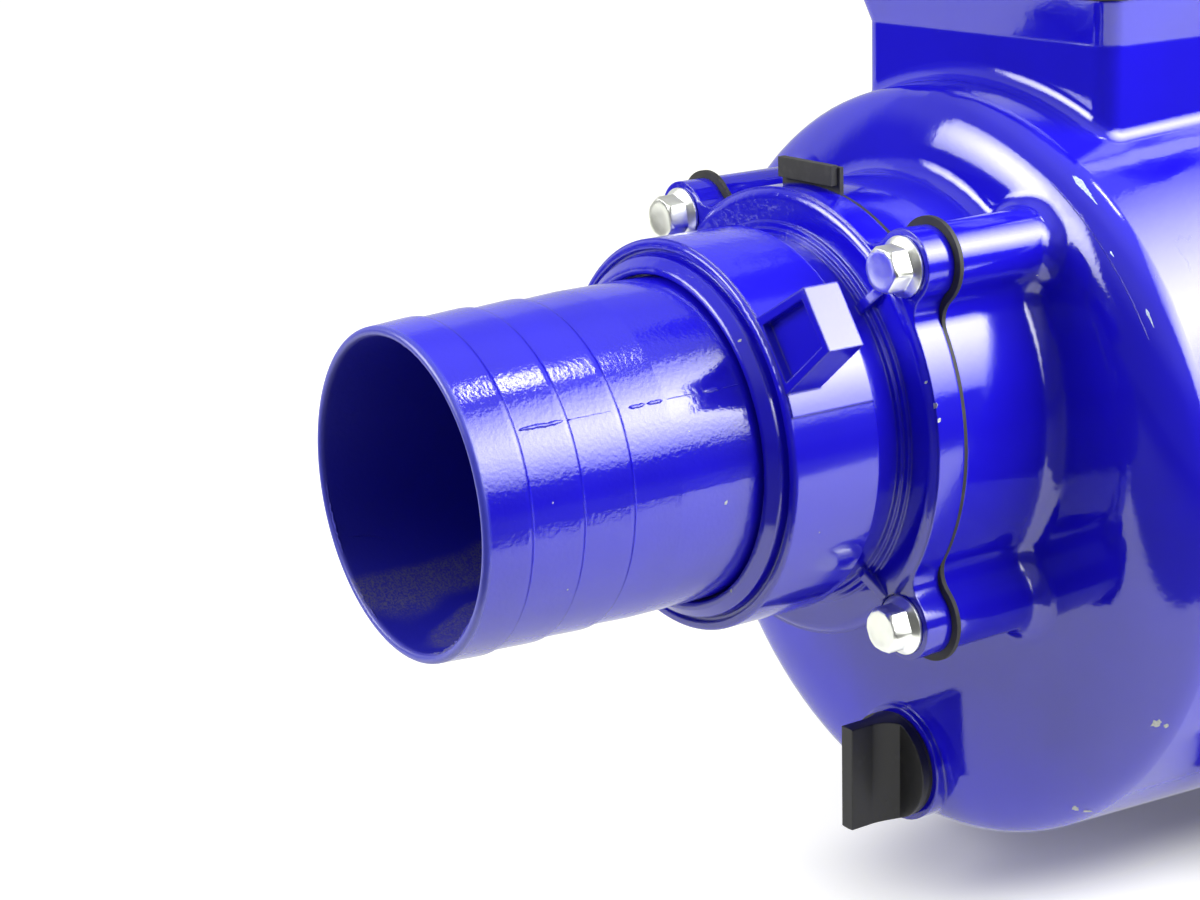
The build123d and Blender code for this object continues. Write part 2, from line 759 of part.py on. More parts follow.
with BuildPart() as rear_cover:
    with BuildSketch(rear_side.offset(cover_y)):
        rim_outline(shaft_r + shaft_play)
    extrude(amount=cover_thick)
    with BuildSketch(rear_side.offset(cover_y + cover_thick)):
        Circle(cover_hub_r)
        Circle(shaft_r + shaft_play, mode=Mode.SUBTRACT)
    extrude(amount=cover_hub_height, taper=10)
    for rib in range(cover_ribs):
        with BuildSketch(radial_plane(rear_side, rib * 360 / cover_ribs)):
            Polygon(
                (cover_hub_r - 8, cover_y + cover_thick - 2),
                (rim_r - 14, cover_y + cover_thick - 2),
                (rim_r - 22, cover_y + cover_thick),
                (cover_hub_r, cover_y + cover_thick + cover_hub_height - 1),
                (cover_hub_r - 8, cover_y + cover_thick + cover_hub_height - 1),
                align=None,
            )
        extrude(amount=cover_rib_thick / 2, both=True)
    with BuildSketch(rear_side.offset(bracket_y)):
        with PolarLocations(bracket_pitch_r, 4, start_angle=45):
            Circle(tapped_r)
    extrude(amount=3 - cover_thick - cover_hub_height, mode=Mode.SUBTRACT)
rear_cover.part.label = "rear_cover"
export_step(rear_cover.part, "parts/rear_cover.step")

# Bearing bracket: flange, open lantern round the shaft seal, barrel and rear feet
with BuildPart() as bracket:
    with BuildSketch(lengthwise(rear_side)):
        with BuildLine():
            Polyline(
                (shaft_r + shaft_play, barrel_y),
                (lantern_r - lantern_wall, barrel_y - 6),
                (lantern_r, bracket_y),
                (bracket_flange_r, bracket_y),
                (bracket_flange_r, bracket_y + bracket_flange),
                (lantern_r + lantern_wall, bracket_y + bracket_flange),
                (barrel_r + 4, barrel_y - 4),
                (barrel_r, barrel_y + 6),
                (barrel_r, barrel_end_y - 14),
                (cap_r, barrel_end_y - 10),
                (cap_r, barrel_end_y),
                (shaft_r + shaft_play, barrel_end_y),
                close=True,
            )
        make_face()
    revolve(axis=out_axis(rear_side))
    window_y = bracket_y + bracket_flange + lantern_length / 2 - 3
    with BuildSketch(Plane.YZ):
        with Locations((window_y, drum_axis_z)):
            RectangleRounded(lantern_length - 10, window_width, 6)
    extrude(amount=2 * lantern_r, both=True, mode=Mode.SUBTRACT)
    for side_x in (-1, 1):
        with BuildSketch(Plane.XZ.offset(-foot_y)):
            hip = (barrel_r - 3, drum_axis_z - 10)
            leg_outline(side_x, hip, (8, drum_axis_z - barrel_r + 3))
        extrude(amount=leg_thick / 2, both=True)
    with BuildSketch(Plane.XZ.offset(-foot_y)):
        web_x = foot_x - 35
        web_z = foot_thick + 50
        web_top = (barrel_r - 8, drum_axis_z - 20)
        Polygon((-web_x, web_z), (web_x, web_z), web_top, (-web_top[0], web_top[1]), align=None)
    extrude(amount=leg_thick / 2, both=True)
    for side_x in (-1, 1):
        with BuildSketch(Plane.YZ.offset(side_x * foot_x)):
            Polygon(
                (foot_y - foot_length / 2 + 4, foot_thick),
                (foot_y + foot_length / 2 - 4, foot_thick),
                (foot_y + leg_thick / 2, foot_thick + rib_height),
                (foot_y - leg_thick / 2, foot_thick + rib_height),
                align=None,
            )
        extrude(amount=rib_thick / 2, both=True)
    with BuildSketch(Plane.XY):
        foot_pads(foot_y)
    extrude(amount=foot_thick)
    with BuildSketch(rear_side.offset(barrel_y - 10)):
        Circle(shaft_r + shaft_play)
    extrude(amount=barrel_end_y - barrel_y + 10, mode=Mode.SUBTRACT)
    with BuildSketch(rear_side.offset(bracket_y)):
        with PolarLocations(bracket_pitch_r, 4, start_angle=45):
            Circle(bolt_hole_r)
    extrude(amount=bracket_flange, mode=Mode.SUBTRACT)
    with BuildSketch(rear_side.offset(barrel_end_y)):
        with PolarLocations(cap_pitch_r, cap_screws, start_angle=45):
            Circle(cap_screw_r - 0.5)
    extrude(amount=-14, mode=Mode.SUBTRACT)
    grease_ys = (barrel_y + 14, barrel_end_y - 5)
    with BuildSketch(Plane.XY.offset(drum_axis_z + shaft_r)):
        with Locations((0, grease_ys[0]), (0, grease_ys[1])):
            Circle(grease_stem_r + 0.1)
    extrude(amount=barrel_r, mode=Mode.SUBTRACT)
    with BuildSketch(Plane.XY):
        with Locations((foot_x, foot_y), (-foot_x, foot_y)):
            Circle(foot_hole_r)
    extrude(amount=foot_thick, mode=Mode.SUBTRACT)
bracket.part.label = "bearing_bracket"
export_step(bracket.part, "parts/bearing_bracket.step")

with BuildPart() as cap:
    with BuildSketch(rear_side.offset(barrel_end_y)):
        Circle(cap_r)
        Circle(shaft_r + shaft_play, mode=Mode.SUBTRACT)
        with PolarLocations(cap_pitch_r, cap_screws, start_angle=45):
            Circle(cap_screw_r + 0.4, mode=Mode.SUBTRACT)
    extrude(amount=cap_thick)
    with BuildSketch(rear_side.offset(barrel_end_y + cap_thick)):
        Circle(cap_nose_r)
        Circle(shaft_r + shaft_play, mode=Mode.SUBTRACT)
    extrude(amount=cap_nose)
cap.part.label = "bearing_cap"
export_step(cap.part, "parts/bearing_cap.step")


def make_grease_nipple(seat):
    """Grease nipple: stem, hexagon, waist and ball head."""
    with BuildPart() as nipple:
        with BuildSketch(lengthwise(seat)):
            with BuildLine():
                shape = Polyline(
                    (0, -8), (grease_stem_r, -8), (grease_stem_r, 4), (1.9, 5), (1.9, 8), (3.1, 9.4)
                )
                head = ThreePointArc(shape @ 1, (2.9, 11.4), (1.4, 12.6))
                Polyline(head @ 1, (0, 12.6), shape @ 0)
            make_face()
        revolve(axis=out_axis(seat))
        with BuildSketch(seat):
            RegularPolygon(grease_hex / 2, 6, major_radius=False)
        extrude(amount=4)
    return nipple


front_grease_seat = Plane(origin=(0, grease_ys[0], drum_axis_z + barrel_r))
front_grease_nipple = make_grease_nipple(front_grease_seat)
front_grease_nipple.part.label = "front_grease_nipple"
export_step(front_grease_nipple.part, "parts/front_grease_nipple.step")
rear_grease_seat = Plane(origin=(0, grease_ys[1], drum_axis_z + cap_r))
rear_grease_nipple = make_grease_nipple(rear_grease_seat)
rear_grease_nipple.part.label = "rear_grease_nipple"
export_step(rear_grease_nipple.part, "parts/rear_grease_nipple.step")

# Drive: shaft, key, belt pulley and its washer
shaft_front_y = cover_y - 20
shaft_end_y = pulley_y + pulley_width - 1
with BuildPart() as shaft:
    with BuildSketch(rear_side.offset(shaft_front_y)):
        Circle(shaft_r)
    extrude(amount=shaft_end_y - shaft_front_y)
    chamfer(shaft.edges().filter_by(GeomType.CIRCLE), 1)
    with BuildSketch(Plane.XY.offset(drum_axis_z + shaft_r - key_height / 2)):
        with Locations((0, pulley_y)):
            Rectangle(key_width, pulley_width + 10, align=(Align.CENTER, Align.MIN))
    extrude(amount=key_height, mode=Mode.SUBTRACT)
    with BuildSketch(rear_side.offset(shaft_end_y)):
        Circle(tapped_r)
    extrude(amount=-25, mode=Mode.SUBTRACT)
shaft.part.label = "drive_shaft"
export_step(shaft.part, "parts/drive_shaft.step")

with BuildPart() as key:
    with BuildSketch(Plane.XY.offset(drum_axis_z + shaft_r - key_height / 2)):
        with Locations((0, pulley_y)):
            Rectangle(key_width, pulley_width - 1, align=(Align.CENTER, Align.MIN))
    extrude(amount=key_height)
key.part.label = "pulley_key"
export_step(key.part, "parts/pulley_key.step")

with BuildPart() as pulley:
    rim_inner_r = pulley_r - groove_depth - pulley_rim
    middle_y = pulley_y + pulley_width / 2
    end_y = pulley_y + pulley_width
    seat_r = shaft_r + 0.1
    points = [(seat_r, pulley_y), (pulley_hub_r, pulley_y)]
    points += [(pulley_hub_r + 1.5, middle_y - web_thick / 2)]
    points += [(rim_inner_r - 1.5, middle_y - web_thick / 2)]
    points += [(rim_inner_r, pulley_y), (pulley_r - 1, pulley_y), (pulley_r, pulley_y + 1)]
    for groove in range(groove_count):
        groove_y = middle_y + (groove - (groove_count - 1) / 2) * groove_pitch
        points += [(pulley_r, groove_y - groove_top / 2)]
        points += [(pulley_r - groove_depth, groove_y - groove_bottom / 2)]
        points += [(pulley_r - groove_depth, groove_y + groove_bottom / 2)]
        points += [(pulley_r, groove_y + groove_top / 2)]
    points += [(pulley_r, end_y - 1), (pulley_r - 1, end_y), (rim_inner_r, end_y)]
    points += [(rim_inner_r - 1.5, middle_y + web_thick / 2)]
    points += [(pulley_hub_r + 1.5, middle_y + web_thick / 2)]
    points += [(pulley_hub_r, end_y), (seat_r, end_y)]
    with BuildSketch(lengthwise(rear_side)):
        with BuildLine():
            Polyline(*points, close=True)
        make_face()
    revolve(axis=out_axis(rear_side))
    with BuildSketch(rear_side.offset(pulley_y)):
        with PolarLocations((pulley_hub_r + rim_inner_r) / 2, web_holes, start_angle=90):
            Circle(web_hole_r)
    extrude(amount=pulley_width, mode=Mode.SUBTRACT)
    with BuildSketch(Plane.XY.offset(drum_axis_z)):
        with Locations((0, pulley_y)):
            Rectangle(key_width, pulley_width, align=(Align.CENTER, Align.MIN))
    extrude(amount=shaft_r + key_height / 2, mode=Mode.SUBTRACT)
pulley.part.label = "belt_pulley"
export_step(pulley.part, "parts/belt_pulley.step")

with BuildPart() as washer:
    with BuildSketch(rear_side.offset(pulley_y + pulley_width)):
        Circle(washer_r)
        Circle(bolt_hole_r, mode=Mode.SUBTRACT)
    extrude(amount=washer_thick)
washer.part.label = "pulley_washer"
export_step(washer.part, "parts/pulley_washer.step")
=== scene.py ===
"""Looks of the belt-driven water pump: enamel, rubber, bolts, casting marks and the studio."""

from __future__ import annotations

import logging
import math
import random
from dataclasses import dataclass, field
from enum import Enum
from typing import Callable, Sequence

import bmesh
import bpy
from mathutils import Matrix, Vector
from mathutils.bvhtree import BVHTree


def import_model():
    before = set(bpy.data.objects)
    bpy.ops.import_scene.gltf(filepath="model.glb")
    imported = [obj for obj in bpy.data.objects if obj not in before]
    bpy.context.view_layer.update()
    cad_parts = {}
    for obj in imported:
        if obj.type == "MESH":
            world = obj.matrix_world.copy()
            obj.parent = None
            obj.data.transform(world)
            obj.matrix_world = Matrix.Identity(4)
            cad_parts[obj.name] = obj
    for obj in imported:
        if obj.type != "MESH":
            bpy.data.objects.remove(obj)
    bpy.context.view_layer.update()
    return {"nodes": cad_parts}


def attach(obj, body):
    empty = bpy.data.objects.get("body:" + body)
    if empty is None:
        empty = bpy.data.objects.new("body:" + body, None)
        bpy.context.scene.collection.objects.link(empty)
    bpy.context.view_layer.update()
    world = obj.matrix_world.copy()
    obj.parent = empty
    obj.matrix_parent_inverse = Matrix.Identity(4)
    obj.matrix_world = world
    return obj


log = logging.getLogger("pump")

Socket = bpy.types.NodeSocket
Node = bpy.types.Node
Material = bpy.types.Material
Piece = bpy.types.Object
Work = bmesh.types.BMesh
Point = tuple[float, float, float]
Spot = tuple[Vector, Vector, Vector]
Line = Callable[[float], Spot]

MM = 0.001
DRUM_AXIS_Z = 0.150

ENAMEL_BLUE: Point = (0.011, 0.006, 0.58)
BORE_BLUE: Point = (0.008, 0.008, 0.42)
OVERSPRAY: Point = (0.22, 0.21, 0.13)
# Painted shade: dark blue for the creases at the barbs' roots
BARB_ROOT_SHADE: Point = (0.006, 0.004, 0.30)
RIM_BLUE: Point = (0.055, 0.065, 0.50)
RUST: Point = (0.13, 0.055, 0.025)

# Where the paint changes, as smooth steps in metres: along the flow, from the axis, or in height
# BARB_ROOTS: reaches of the barbs' roots, where the dark lines of painted shade go
BARB_ROOTS = (0.1060, 0.1232, 0.1405)
RIM_STEP = (0.1535, 0.1550)
BORE_STEP = (0.0474, 0.0480)
UPPER_DUST = ((-0.0265, -0.0295), (-0.0375, -0.0345))
LOWER_DUST = ((-0.0390, -0.0400), (-0.0428, -0.0412))
CAST_SKIN_STEPS = {"Z": (0.222, 0.236), "Y": (-0.2425, -0.2440), "X": (0.034, 0.020)}


class Side(Enum):
    """The two hose connections of the casing."""

    SUCTION = "suction"
    OUTLET = "outlet"


@dataclass(frozen=True)
class FlowAxis:
    """Seat and direction of a hose connection; a reach is measured outwards from the seat."""

    seat: Vector
    out: Vector
    across: Vector

    @property
    def up(self) -> Vector:
        """The third direction, square to the flow and to across."""
        return self.out.cross(self.across)

    def at(self, reach: float, radius: float = 0.0, angle: float = 0.0) -> Vector:
        """A point in metres.

        Args:
            reach: distance out of the seat in millimetres.
            radius: distance from the axis in millimetres.
            angle: turn in degrees, from across towards up.

        Returns:
            The point in the part's frame.
        """
        turn = math.radians(angle)
        ray = self.across * math.cos(turn) + self.up * math.sin(turn)
        return self.seat + self.out * (reach * MM) + ray * (radius * MM)


AXES: dict[Side, FlowAxis] = {
    Side.SUCTION: FlowAxis(Vector((0, -0.2329, 0.1794)), Vector((0, -1, 0)), Vector((1, 0, 0))),
    Side.OUTLET: FlowAxis(Vector((0, -0.109, 0.3080)), Vector((0, 0, 1)), Vector((1, 0, 0))),
}


# Node graphs


class Graph:
    """Short way to write a node tree."""

    def __init__(self, tree: bpy.types.NodeTree) -> None:
        """Starts on an emptied tree."""
        self.tree = tree
        tree.nodes.clear()

    def add(self, kind: str, inputs: dict | None = None, **settings: object) -> Node:
        """Adds a node.

        Args:
            kind: the node's type.
            inputs: values or sockets by input name or number.
            settings: properties of the node itself.

        Returns:
            The new node.
        """
        node = self.tree.nodes.new(kind)
        for name, value in settings.items():
            setattr(node, name, value)
        for key, value in (inputs or {}).items():
            self.put(node.inputs[key], value)
        return node

    def put(self, socket: Socket, value: object) -> None:
        """Links a socket or sets its value."""
        if isinstance(value, Socket):
            self.tree.links.new(value, socket)
        else:
            socket.default_value = value

    def math(self, operation: str, *values: object, clamp: bool = False) -> Socket:
        """Adds a Math node and returns its result."""
        node = self.add("ShaderNodeMath", dict(enumerate(values)), operation=operation)
        node.use_clamp = clamp
        return node.outputs[0]

    def vector(self, operation: str, *values: object) -> Socket:
        """Adds a Vector Math node and returns its vector, or its number where it gives one."""
        node = self.add("ShaderNodeVectorMath", dict(enumerate(values)), operation=operation)
        return node.outputs["Value" if operation in ("LENGTH", "DOT_PRODUCT") else "Vector"]

    def split(self, value: object) -> bpy.types.bpy_prop_collection:
        """The X, Y and Z outputs of a vector."""
        return self.add("ShaderNodeSeparateXYZ", {"Vector": value}).outputs

    def plus(self, base: object, amount: object, share: float) -> Socket:
        """Adds a share of an amount to a base."""
        return self.math("ADD", base, self.math("MULTIPLY", amount, share))

    def ramp(self, value: object, low: float, high: float) -> Socket:
        """Smooth step from 0 at low to 1 at high."""
        inputs = {"Value": value, "From Min": low, "From Max": high}
        return self.add("ShaderNodeMapRange", inputs, interpolation_type="SMOOTHSTEP").outputs[0]

    def band(self, value: object, first: tuple[float, float], last: tuple[float, float]) -> Socket:
        """1 between two smooth steps and 0 outside them."""
        return self.math("MULTIPLY", self.ramp(value, *first), self.ramp(value, *last))

    def mix(self, factor: object, a: object, b: object) -> Socket:
        """Mixes two colours."""
        node = self.add("ShaderNodeMix", {0: factor, 6: a, 7: b}, data_type="RGBA")
        return node.outputs[2]

    def noise(self, where: object, scale: float, detail: float = 2.0, rough: float = 0.5) -> Socket:
        """Noise between 0 and 1 at a place."""
        inputs = {"Vector": where, "Scale": scale, "Detail": detail, "Roughness": rough}
        return self.add("ShaderNodeTexNoise", inputs).outputs[0]


def rgba(colour: Sequence[float]) -> tuple[float, float, float, float]:
    """A colour with full alpha."""
    return (colour[0], colour[1], colour[2], 1.0)


# Finishes


@dataclass(frozen=True)
class Finish:
    """What every finish has: a name, a colour and a roughness."""

    name: str
    colour: Point
    roughness: float

    def build(self) -> Material:
        """Makes the material.

        Returns:
            A material with its own node tree.
        """
        material = bpy.data.materials.new(self.name)
        material.use_nodes = True
        graph = Graph(material.node_tree)
        where = graph.add("ShaderNodeTexCoord").outputs["Object"]
        shader = graph.add("ShaderNodeBsdfPrincipled")
        graph.add("ShaderNodeOutputMaterial", {"Surface": shader.outputs[0]})
        shader.inputs["Base Color"].default_value = rgba(self.colour)
        shader.inputs["Roughness"].default_value = self.roughness
        self.dress(graph, shader, where)
        return material

    def dress(self, graph: Graph, shader: Node, where: Socket) -> None:
        """Adds the finish's own detail."""
        raise NotImplementedError

    def shade(self, factor: float, lift: float = 0.0) -> Point:
        """The finish's colour, scaled and then raised by a lift."""
        return tuple(min(1.0, c * factor + lift) for c in self.colour)

    def mottle(
        self,
        graph: Graph,
        shader: Node,
        mask: Socket,
        other: Point,
        rougher: float = 0.0,
    ) -> None:
        """Goes over to another colour and a rougher skin where a mask is 1."""
        graph.put(shader.inputs["Base Color"], graph.mix(mask, rgba(self.colour), rgba(other)))
        graph.put(shader.inputs["Roughness"], graph.plus(self.roughness, mask, rougher))

    def bump(
        self,
        graph: Graph,
        shader: Node,
        layers: Sequence[tuple[object, float]],
        edge: float = 0.0,
    ) -> None:
        """Stacks bumps on softened edges.

        Args:
            graph: the material's graph.
            shader: the shader that takes the normal.
            layers: height sockets, each with its depth in millimetres.
            edge: radius in millimetres that sharp edges are softened by, or 0.
        """
        normal = None
        if edge:
            normal = graph.add("ShaderNodeBevel", {"Radius": edge * MM}, samples=6).outputs[0]
        for height, depth in layers:
            inputs = {"Height": height, "Distance": depth * MM, "Strength": 1.0}
            if normal is not None:
                inputs["Normal"] = normal
            normal = graph.add("ShaderNodeBump", inputs).outputs[0]
        if normal is not None:
            graph.put(shader.inputs["Normal"], normal)


@dataclass(frozen=True)
class Enamel(Finish):
    """Glossy sprayed enamel on a die casting; depths of the film's relief in millimetres."""

    peel: float = 0.012
    ripple: float = 0.05
    grain: float = 0.004
    edge: float = 1.0
    rough_cast: float = 0.0
    runs: float = 0.0
    nib: float = 0.015
    bore_axis: Side | None = None
    gloss: float = 1.8
    ripple_scale: float = 95.0
    peel_scale: float = 760.0
    grain_scale: float = 1300.0
    nib_scale: float = 900.0
    runs_scale: float = 60.0
    runs_stretch: Point = (1.0, 1.0, 0.22)

    def dress(self, graph: Graph, shader: Node, where: Socket) -> None:
        """Paint film with its waves and, on a hose tail, a dull bore."""
        slow = graph.ramp(graph.noise(where, 14.0, 3.0, 0.6), 0.3, 0.7)
        colour = graph.mix(slow, rgba(self.shade(0.90)), rgba(self.shade(1.10)))
        nibs = graph.math("GREATER_THAN", graph.noise(where, self.nib_scale, 1.0), 0.80)
        cloud = graph.ramp(graph.noise(where, 32.0, 4.0, 0.6), 0.45, 0.75)
        rough = graph.plus(graph.plus(self.roughness, nibs, 0.12), cloud, 0.025)
        if self.bore_axis is not None:
            colour, rough = self.bore(graph, shader, where, colour, rough)
        graph.put(shader.inputs["Base Color"], colour)
        graph.put(shader.inputs["Roughness"], rough)
        shader.inputs["IOR"].default_value = self.gloss
        layers = [
            (graph.noise(where, self.ripple_scale), self.ripple),
            (graph.noise(where, self.peel_scale), self.peel),
            (nibs, self.nib),
        ]
        if self.grain:
            layers.append((graph.noise(where, self.grain_scale, 1.0), self.grain))
        if self.runs:
            drawn = graph.vector("MULTIPLY", where, self.runs_stretch)
            layers.append((graph.noise(drawn, self.runs_scale), self.runs))
        if self.rough_cast:
            layers.append((self.cast_skin(graph, where), self.rough_cast))
        self.bump(graph, shader, layers, self.edge)

    def cast_skin(self, graph: Graph, where: Socket) -> Socket:
        """Unfettled casting skin on the upper front of the suction flange's plate."""
        parts = graph.split(where)
        high, front, left = (graph.ramp(parts[axis], *step) for axis, step in CAST_SKIN_STEPS.items())
        lumps = graph.ramp(graph.noise(where, 210.0, 4.0, 0.65), 0.35, 0.7)
        mask = graph.math("MULTIPLY", graph.math("MULTIPLY", high, front), left)
        return graph.math("MULTIPLY", mask, lumps)

    def bore(
        self,
        graph: Graph,
        shader: Node,
        where: Socket,
        colour: Socket,
        rough: Socket,
    ) -> tuple[Socket, Socket]:
        """Painted shade as dark lines at the barbs' roots, a dull rim, and thin dark paint with overspray in
        the bore.

        Args:
            graph: the material's graph.
            shader: the material's shader.
            where: object coordinates.
            colour: colour of the outside.
            rough: roughness of the outside.

        Returns:
            Colour and roughness for the whole tube.
        """
        axis = AXES[self.bore_axis]
        centred = graph.vector("SUBTRACT", where, tuple(axis.seat))
        radial = graph.vector("MULTIPLY", centred, tuple(1.0 - abs(c) for c in axis.out))
        reach = graph.vector("DOT_PRODUCT", centred, tuple(axis.out))
        outside = graph.ramp(graph.vector("LENGTH", radial), *BORE_STEP)
        inside = graph.math("SUBTRACT", 1.0, outside)
        # Painted shade: dark lines in the creases at the barbs' roots, with less reflection there
        root_shade = 0.0
        for start in BARB_ROOTS:
            root = graph.band(reach, (start - 0.0004, start), (start + 0.0012, start + 0.0006))
            root_shade = graph.math("ADD", root_shade, root)
        root_shade = graph.math("MULTIPLY", root_shade, graph.math("SUBTRACT", 1.0, inside))
        colour = graph.mix(graph.math("MULTIPLY", root_shade, 0.6), colour, rgba(BARB_ROOT_SHADE))
        shine = graph.math("SUBTRACT", 0.5, graph.math("MULTIPLY", root_shade, 0.38))
        graph.put(shader.inputs["Specular IOR Level"], shine)
        rim = graph.ramp(reach, *RIM_STEP)
        colour = graph.mix(graph.math("MULTIPLY", rim, 0.7), colour, rgba(RIM_BLUE))
        rough = graph.plus(rough, rim, 0.22)
        bent = graph.plus(graph.split(centred)["Z"], graph.noise(where, 24.0), 0.012)
        if self.bore_axis is Side.OUTLET:
            band = 0.4
        else:
            upper, lower = graph.band(bent, *UPPER_DUST), graph.band(bent, *LOWER_DUST)
            band = graph.math("MAXIMUM", upper, graph.math("MULTIPLY", lower, 0.9))
        grit = graph.ramp(graph.noise(where, 1500.0, 2.0, 0.75), 0.40, 0.62)
        haze = graph.math("ADD", graph.math("MULTIPLY", grit, 0.50), 0.07)
        dark = graph.mix(graph.math("MULTIPLY", band, haze), rgba(BORE_BLUE), rgba(OVERSPRAY))
        return graph.mix(inside, colour, dark), graph.plus(rough, inside, 0.33)


@dataclass(frozen=True)
class Chip(Finish):
    """Bare casting and grey filler in a paint chip; the same finish in pale bluish white gives the seam
    slivers a painted highlight.
    """

    def dress(self, graph: Graph, shader: Node, where: Socket) -> None:
        """Mottled grey with a little metal in it."""
        spots = graph.ramp(graph.noise(where, 1500.0, 3.0, 0.6), 0.4, 0.6)
        self.mottle(graph, shader, spots, self.shade(1.35))
        shader.inputs["Metallic"].default_value = 0.25
        self.bump(graph, shader, [(graph.noise(where, 2200.0), 0.03)])


@dataclass(frozen=True)
class Rubber(Finish):
    """Matte moulded rubber, slightly dusty."""

    def dress(self, graph: Graph, shader: Node, where: Socket) -> None:
        """Fine pores and paler dust."""
        dust = graph.ramp(graph.noise(where, 220.0, 4.0, 0.65), 0.45, 0.8)
        self.mottle(graph, shader, dust, self.shade(1.9, 0.004), 0.12)
        pores, dents = graph.noise(where, 1800.0), graph.noise(where, 300.0, 3.0)
        self.bump(graph, shader, [(pores, 0.02), (dents, 0.05)], 0.25)


@dataclass(frozen=True)
class MouldedPlastic(Finish):
    """Black moulded plastic with fine spark texture and scuffed edges."""

    def dress(self, graph: Graph, shader: Node, where: Socket) -> None:
        """Spark texture, light scuffs."""
        scuff = graph.ramp(graph.noise(where, 90.0, 6.0, 0.7), 0.56, 0.72)
        self.mottle(graph, shader, scuff, self.shade(2.2, 0.006), 0.15)
        sparks, waves = graph.noise(where, 2600.0, 1.0), graph.noise(where, 160.0)
        self.bump(graph, shader, [(sparks, 0.012), (waves, 0.05)], 0.7)


@dataclass(frozen=True)
class ZincPlate(Finish):
    """Bright zinc plate with a faint mottling."""

    def dress(self, graph: Graph, shader: Node, where: Socket) -> None:
        """A warm and a cold tint, dull patches from handling and a slight waviness."""
        shader.inputs["Metallic"].default_value = 1.0
        tint = graph.ramp(graph.noise(where, 120.0), 0.3, 0.7)
        warm = (self.colour[0] * 0.98, self.colour[1] * 0.98, self.colour[2] * 0.92)
        graph.put(shader.inputs["Base Color"], graph.mix(tint, rgba(self.colour), rgba(warm)))
        worn = graph.ramp(graph.noise(where, 300.0), 0.3, 0.75)
        graph.put(shader.inputs["Roughness"], graph.plus(self.roughness, worn, 0.08))
        self.bump(graph, shader, [(graph.noise(where, 240.0), 0.005)], 0.35)


@dataclass(frozen=True)
class MachinedIron(Finish):
    """Turned metal under a thin oil film, with fine lathe lines round one axis."""

    centre: Point = (0.0, 0.0, DRUM_AXIS_Z)
    metallic: float = 0.85
    lines: float = 8400.0

    def dress(self, graph: Graph, shader: Node, where: Socket) -> None:
        """Lathe lines, rust bloom in patches."""
        shader.inputs["Metallic"].default_value = self.metallic
        centred = graph.vector("SUBTRACT", where, self.centre)
        across, along, up = graph.split(centred)
        squares = graph.math("ADD", graph.math("POWER", across, 2.0), graph.math("POWER", up, 2.0))
        turned = graph.math("ADD", graph.math("SQRT", squares), along)
        line = graph.math("SINE", graph.math("MULTIPLY", turned, self.lines))
        bloom = graph.ramp(graph.noise(where, 70.0, 6.0, 0.65), 0.55, 0.75)
        stained = graph.mix(graph.math("MULTIPLY", bloom, 0.45), rgba(self.colour), rgba(RUST))
        graph.put(shader.inputs["Base Color"], stained)
        graph.put(shader.inputs["Roughness"], graph.plus(self.roughness, bloom, 0.25))
        self.bump(graph, shader, [(line, 0.004), (graph.noise(where, 500.0, 4.0, 0.6), 0.02)], 0.4)


class Finishes:
    """Every finish of the pump, built once and shared by name."""

    def __init__(self) -> None:
        """Builds all the materials."""
        blue = ENAMEL_BLUE
        drum = {"peel": 0.020, "ripple": 0.02, "grain": 0.0, "edge": 1.2, "runs": 0.10}
        small = {"peel": 0.020, "ripple": 0.005, "grain": 0.002, "edge": 0.9, "rough_cast": 0.07}
        tail = {"peel": 0.060, "ripple": 0.05, "grain": 0.006, "edge": 0.6}
        self.casing = Enamel("casing_enamel", blue, 0.07, **drum).build()
        self.fittings = Enamel("fitting_enamel", blue, 0.10, **small).build()
        self.suction_tail = Enamel("suction_tail_enamel", blue, 0.11, bore_axis=Side.SUCTION, **tail).build()
        self.outlet_tail = Enamel("outlet_tail_enamel", blue, 0.11, bore_axis=Side.OUTLET, **tail).build()
        self.scuffed = Enamel("scuffed_enamel", blue, 0.42, peel=0.02, ripple=0.0, edge=0.0).build()
        # Pale bluish white: a painted highlight on the raised slivers beside the drum's seam
        self.sliver_glint = Chip("lifted_paint", (0.55, 0.64, 0.86), 0.35).build()
        self.chip = Chip("bare_chip", (0.42, 0.44, 0.40), 0.55).build()
        self.rubber = Rubber("black_gasket_rubber", (0.030, 0.030, 0.025), 0.60).build()
        self.plastic = MouldedPlastic("black_plug_plastic", (0.010, 0.010, 0.010), 0.40).build()
        self.zinc = ZincPlate("zinc_plate", (0.92, 0.94, 0.90), 0.29).build()
        self.iron = MachinedIron("pulley_iron", (0.11, 0.11, 0.115), 0.38).build()
        self.steel = MachinedIron(
            "ground_steel", (0.55, 0.55, 0.56), 0.22, metallic=1.0, lines=13200.0
        ).build()


# Meshes


def link(name: str, data: bpy.types.ID) -> Piece:
    """Makes an object of the data and links it to the scene."""
    made = bpy.data.objects.new(name, data)
    bpy.context.scene.collection.objects.link(made)
    return made


def mesh_object(
    name: str,
    build: Callable[[Work], None],
    material: Material,
    smooth: float = 40.0,
) -> Piece:
    """Makes an object from a function that fills a bmesh.

    Args:
        name: the object's name.
        build: fills the bmesh with closed shells.
        material: its material.
        smooth: faces that meet at less than this angle in degrees are shaded smooth.

    Returns:
        The linked object, at the origin.
    """
    work = bmesh.new()
    build(work)
    bmesh.ops.remove_doubles(work, verts=work.verts, dist=1e-7)
    bmesh.ops.recalc_face_normals(work, faces=work.faces)
    for face in work.faces:
        face.smooth = True
    for edge in work.edges:
        if len(edge.link_faces) == 2 and edge.calc_face_angle(0.0) > math.radians(smooth):
            edge.smooth = False
    data = bpy.data.meshes.new(name)
    work.to_mesh(data)
    work.free()
    data.materials.append(material)
    return link(name, data)


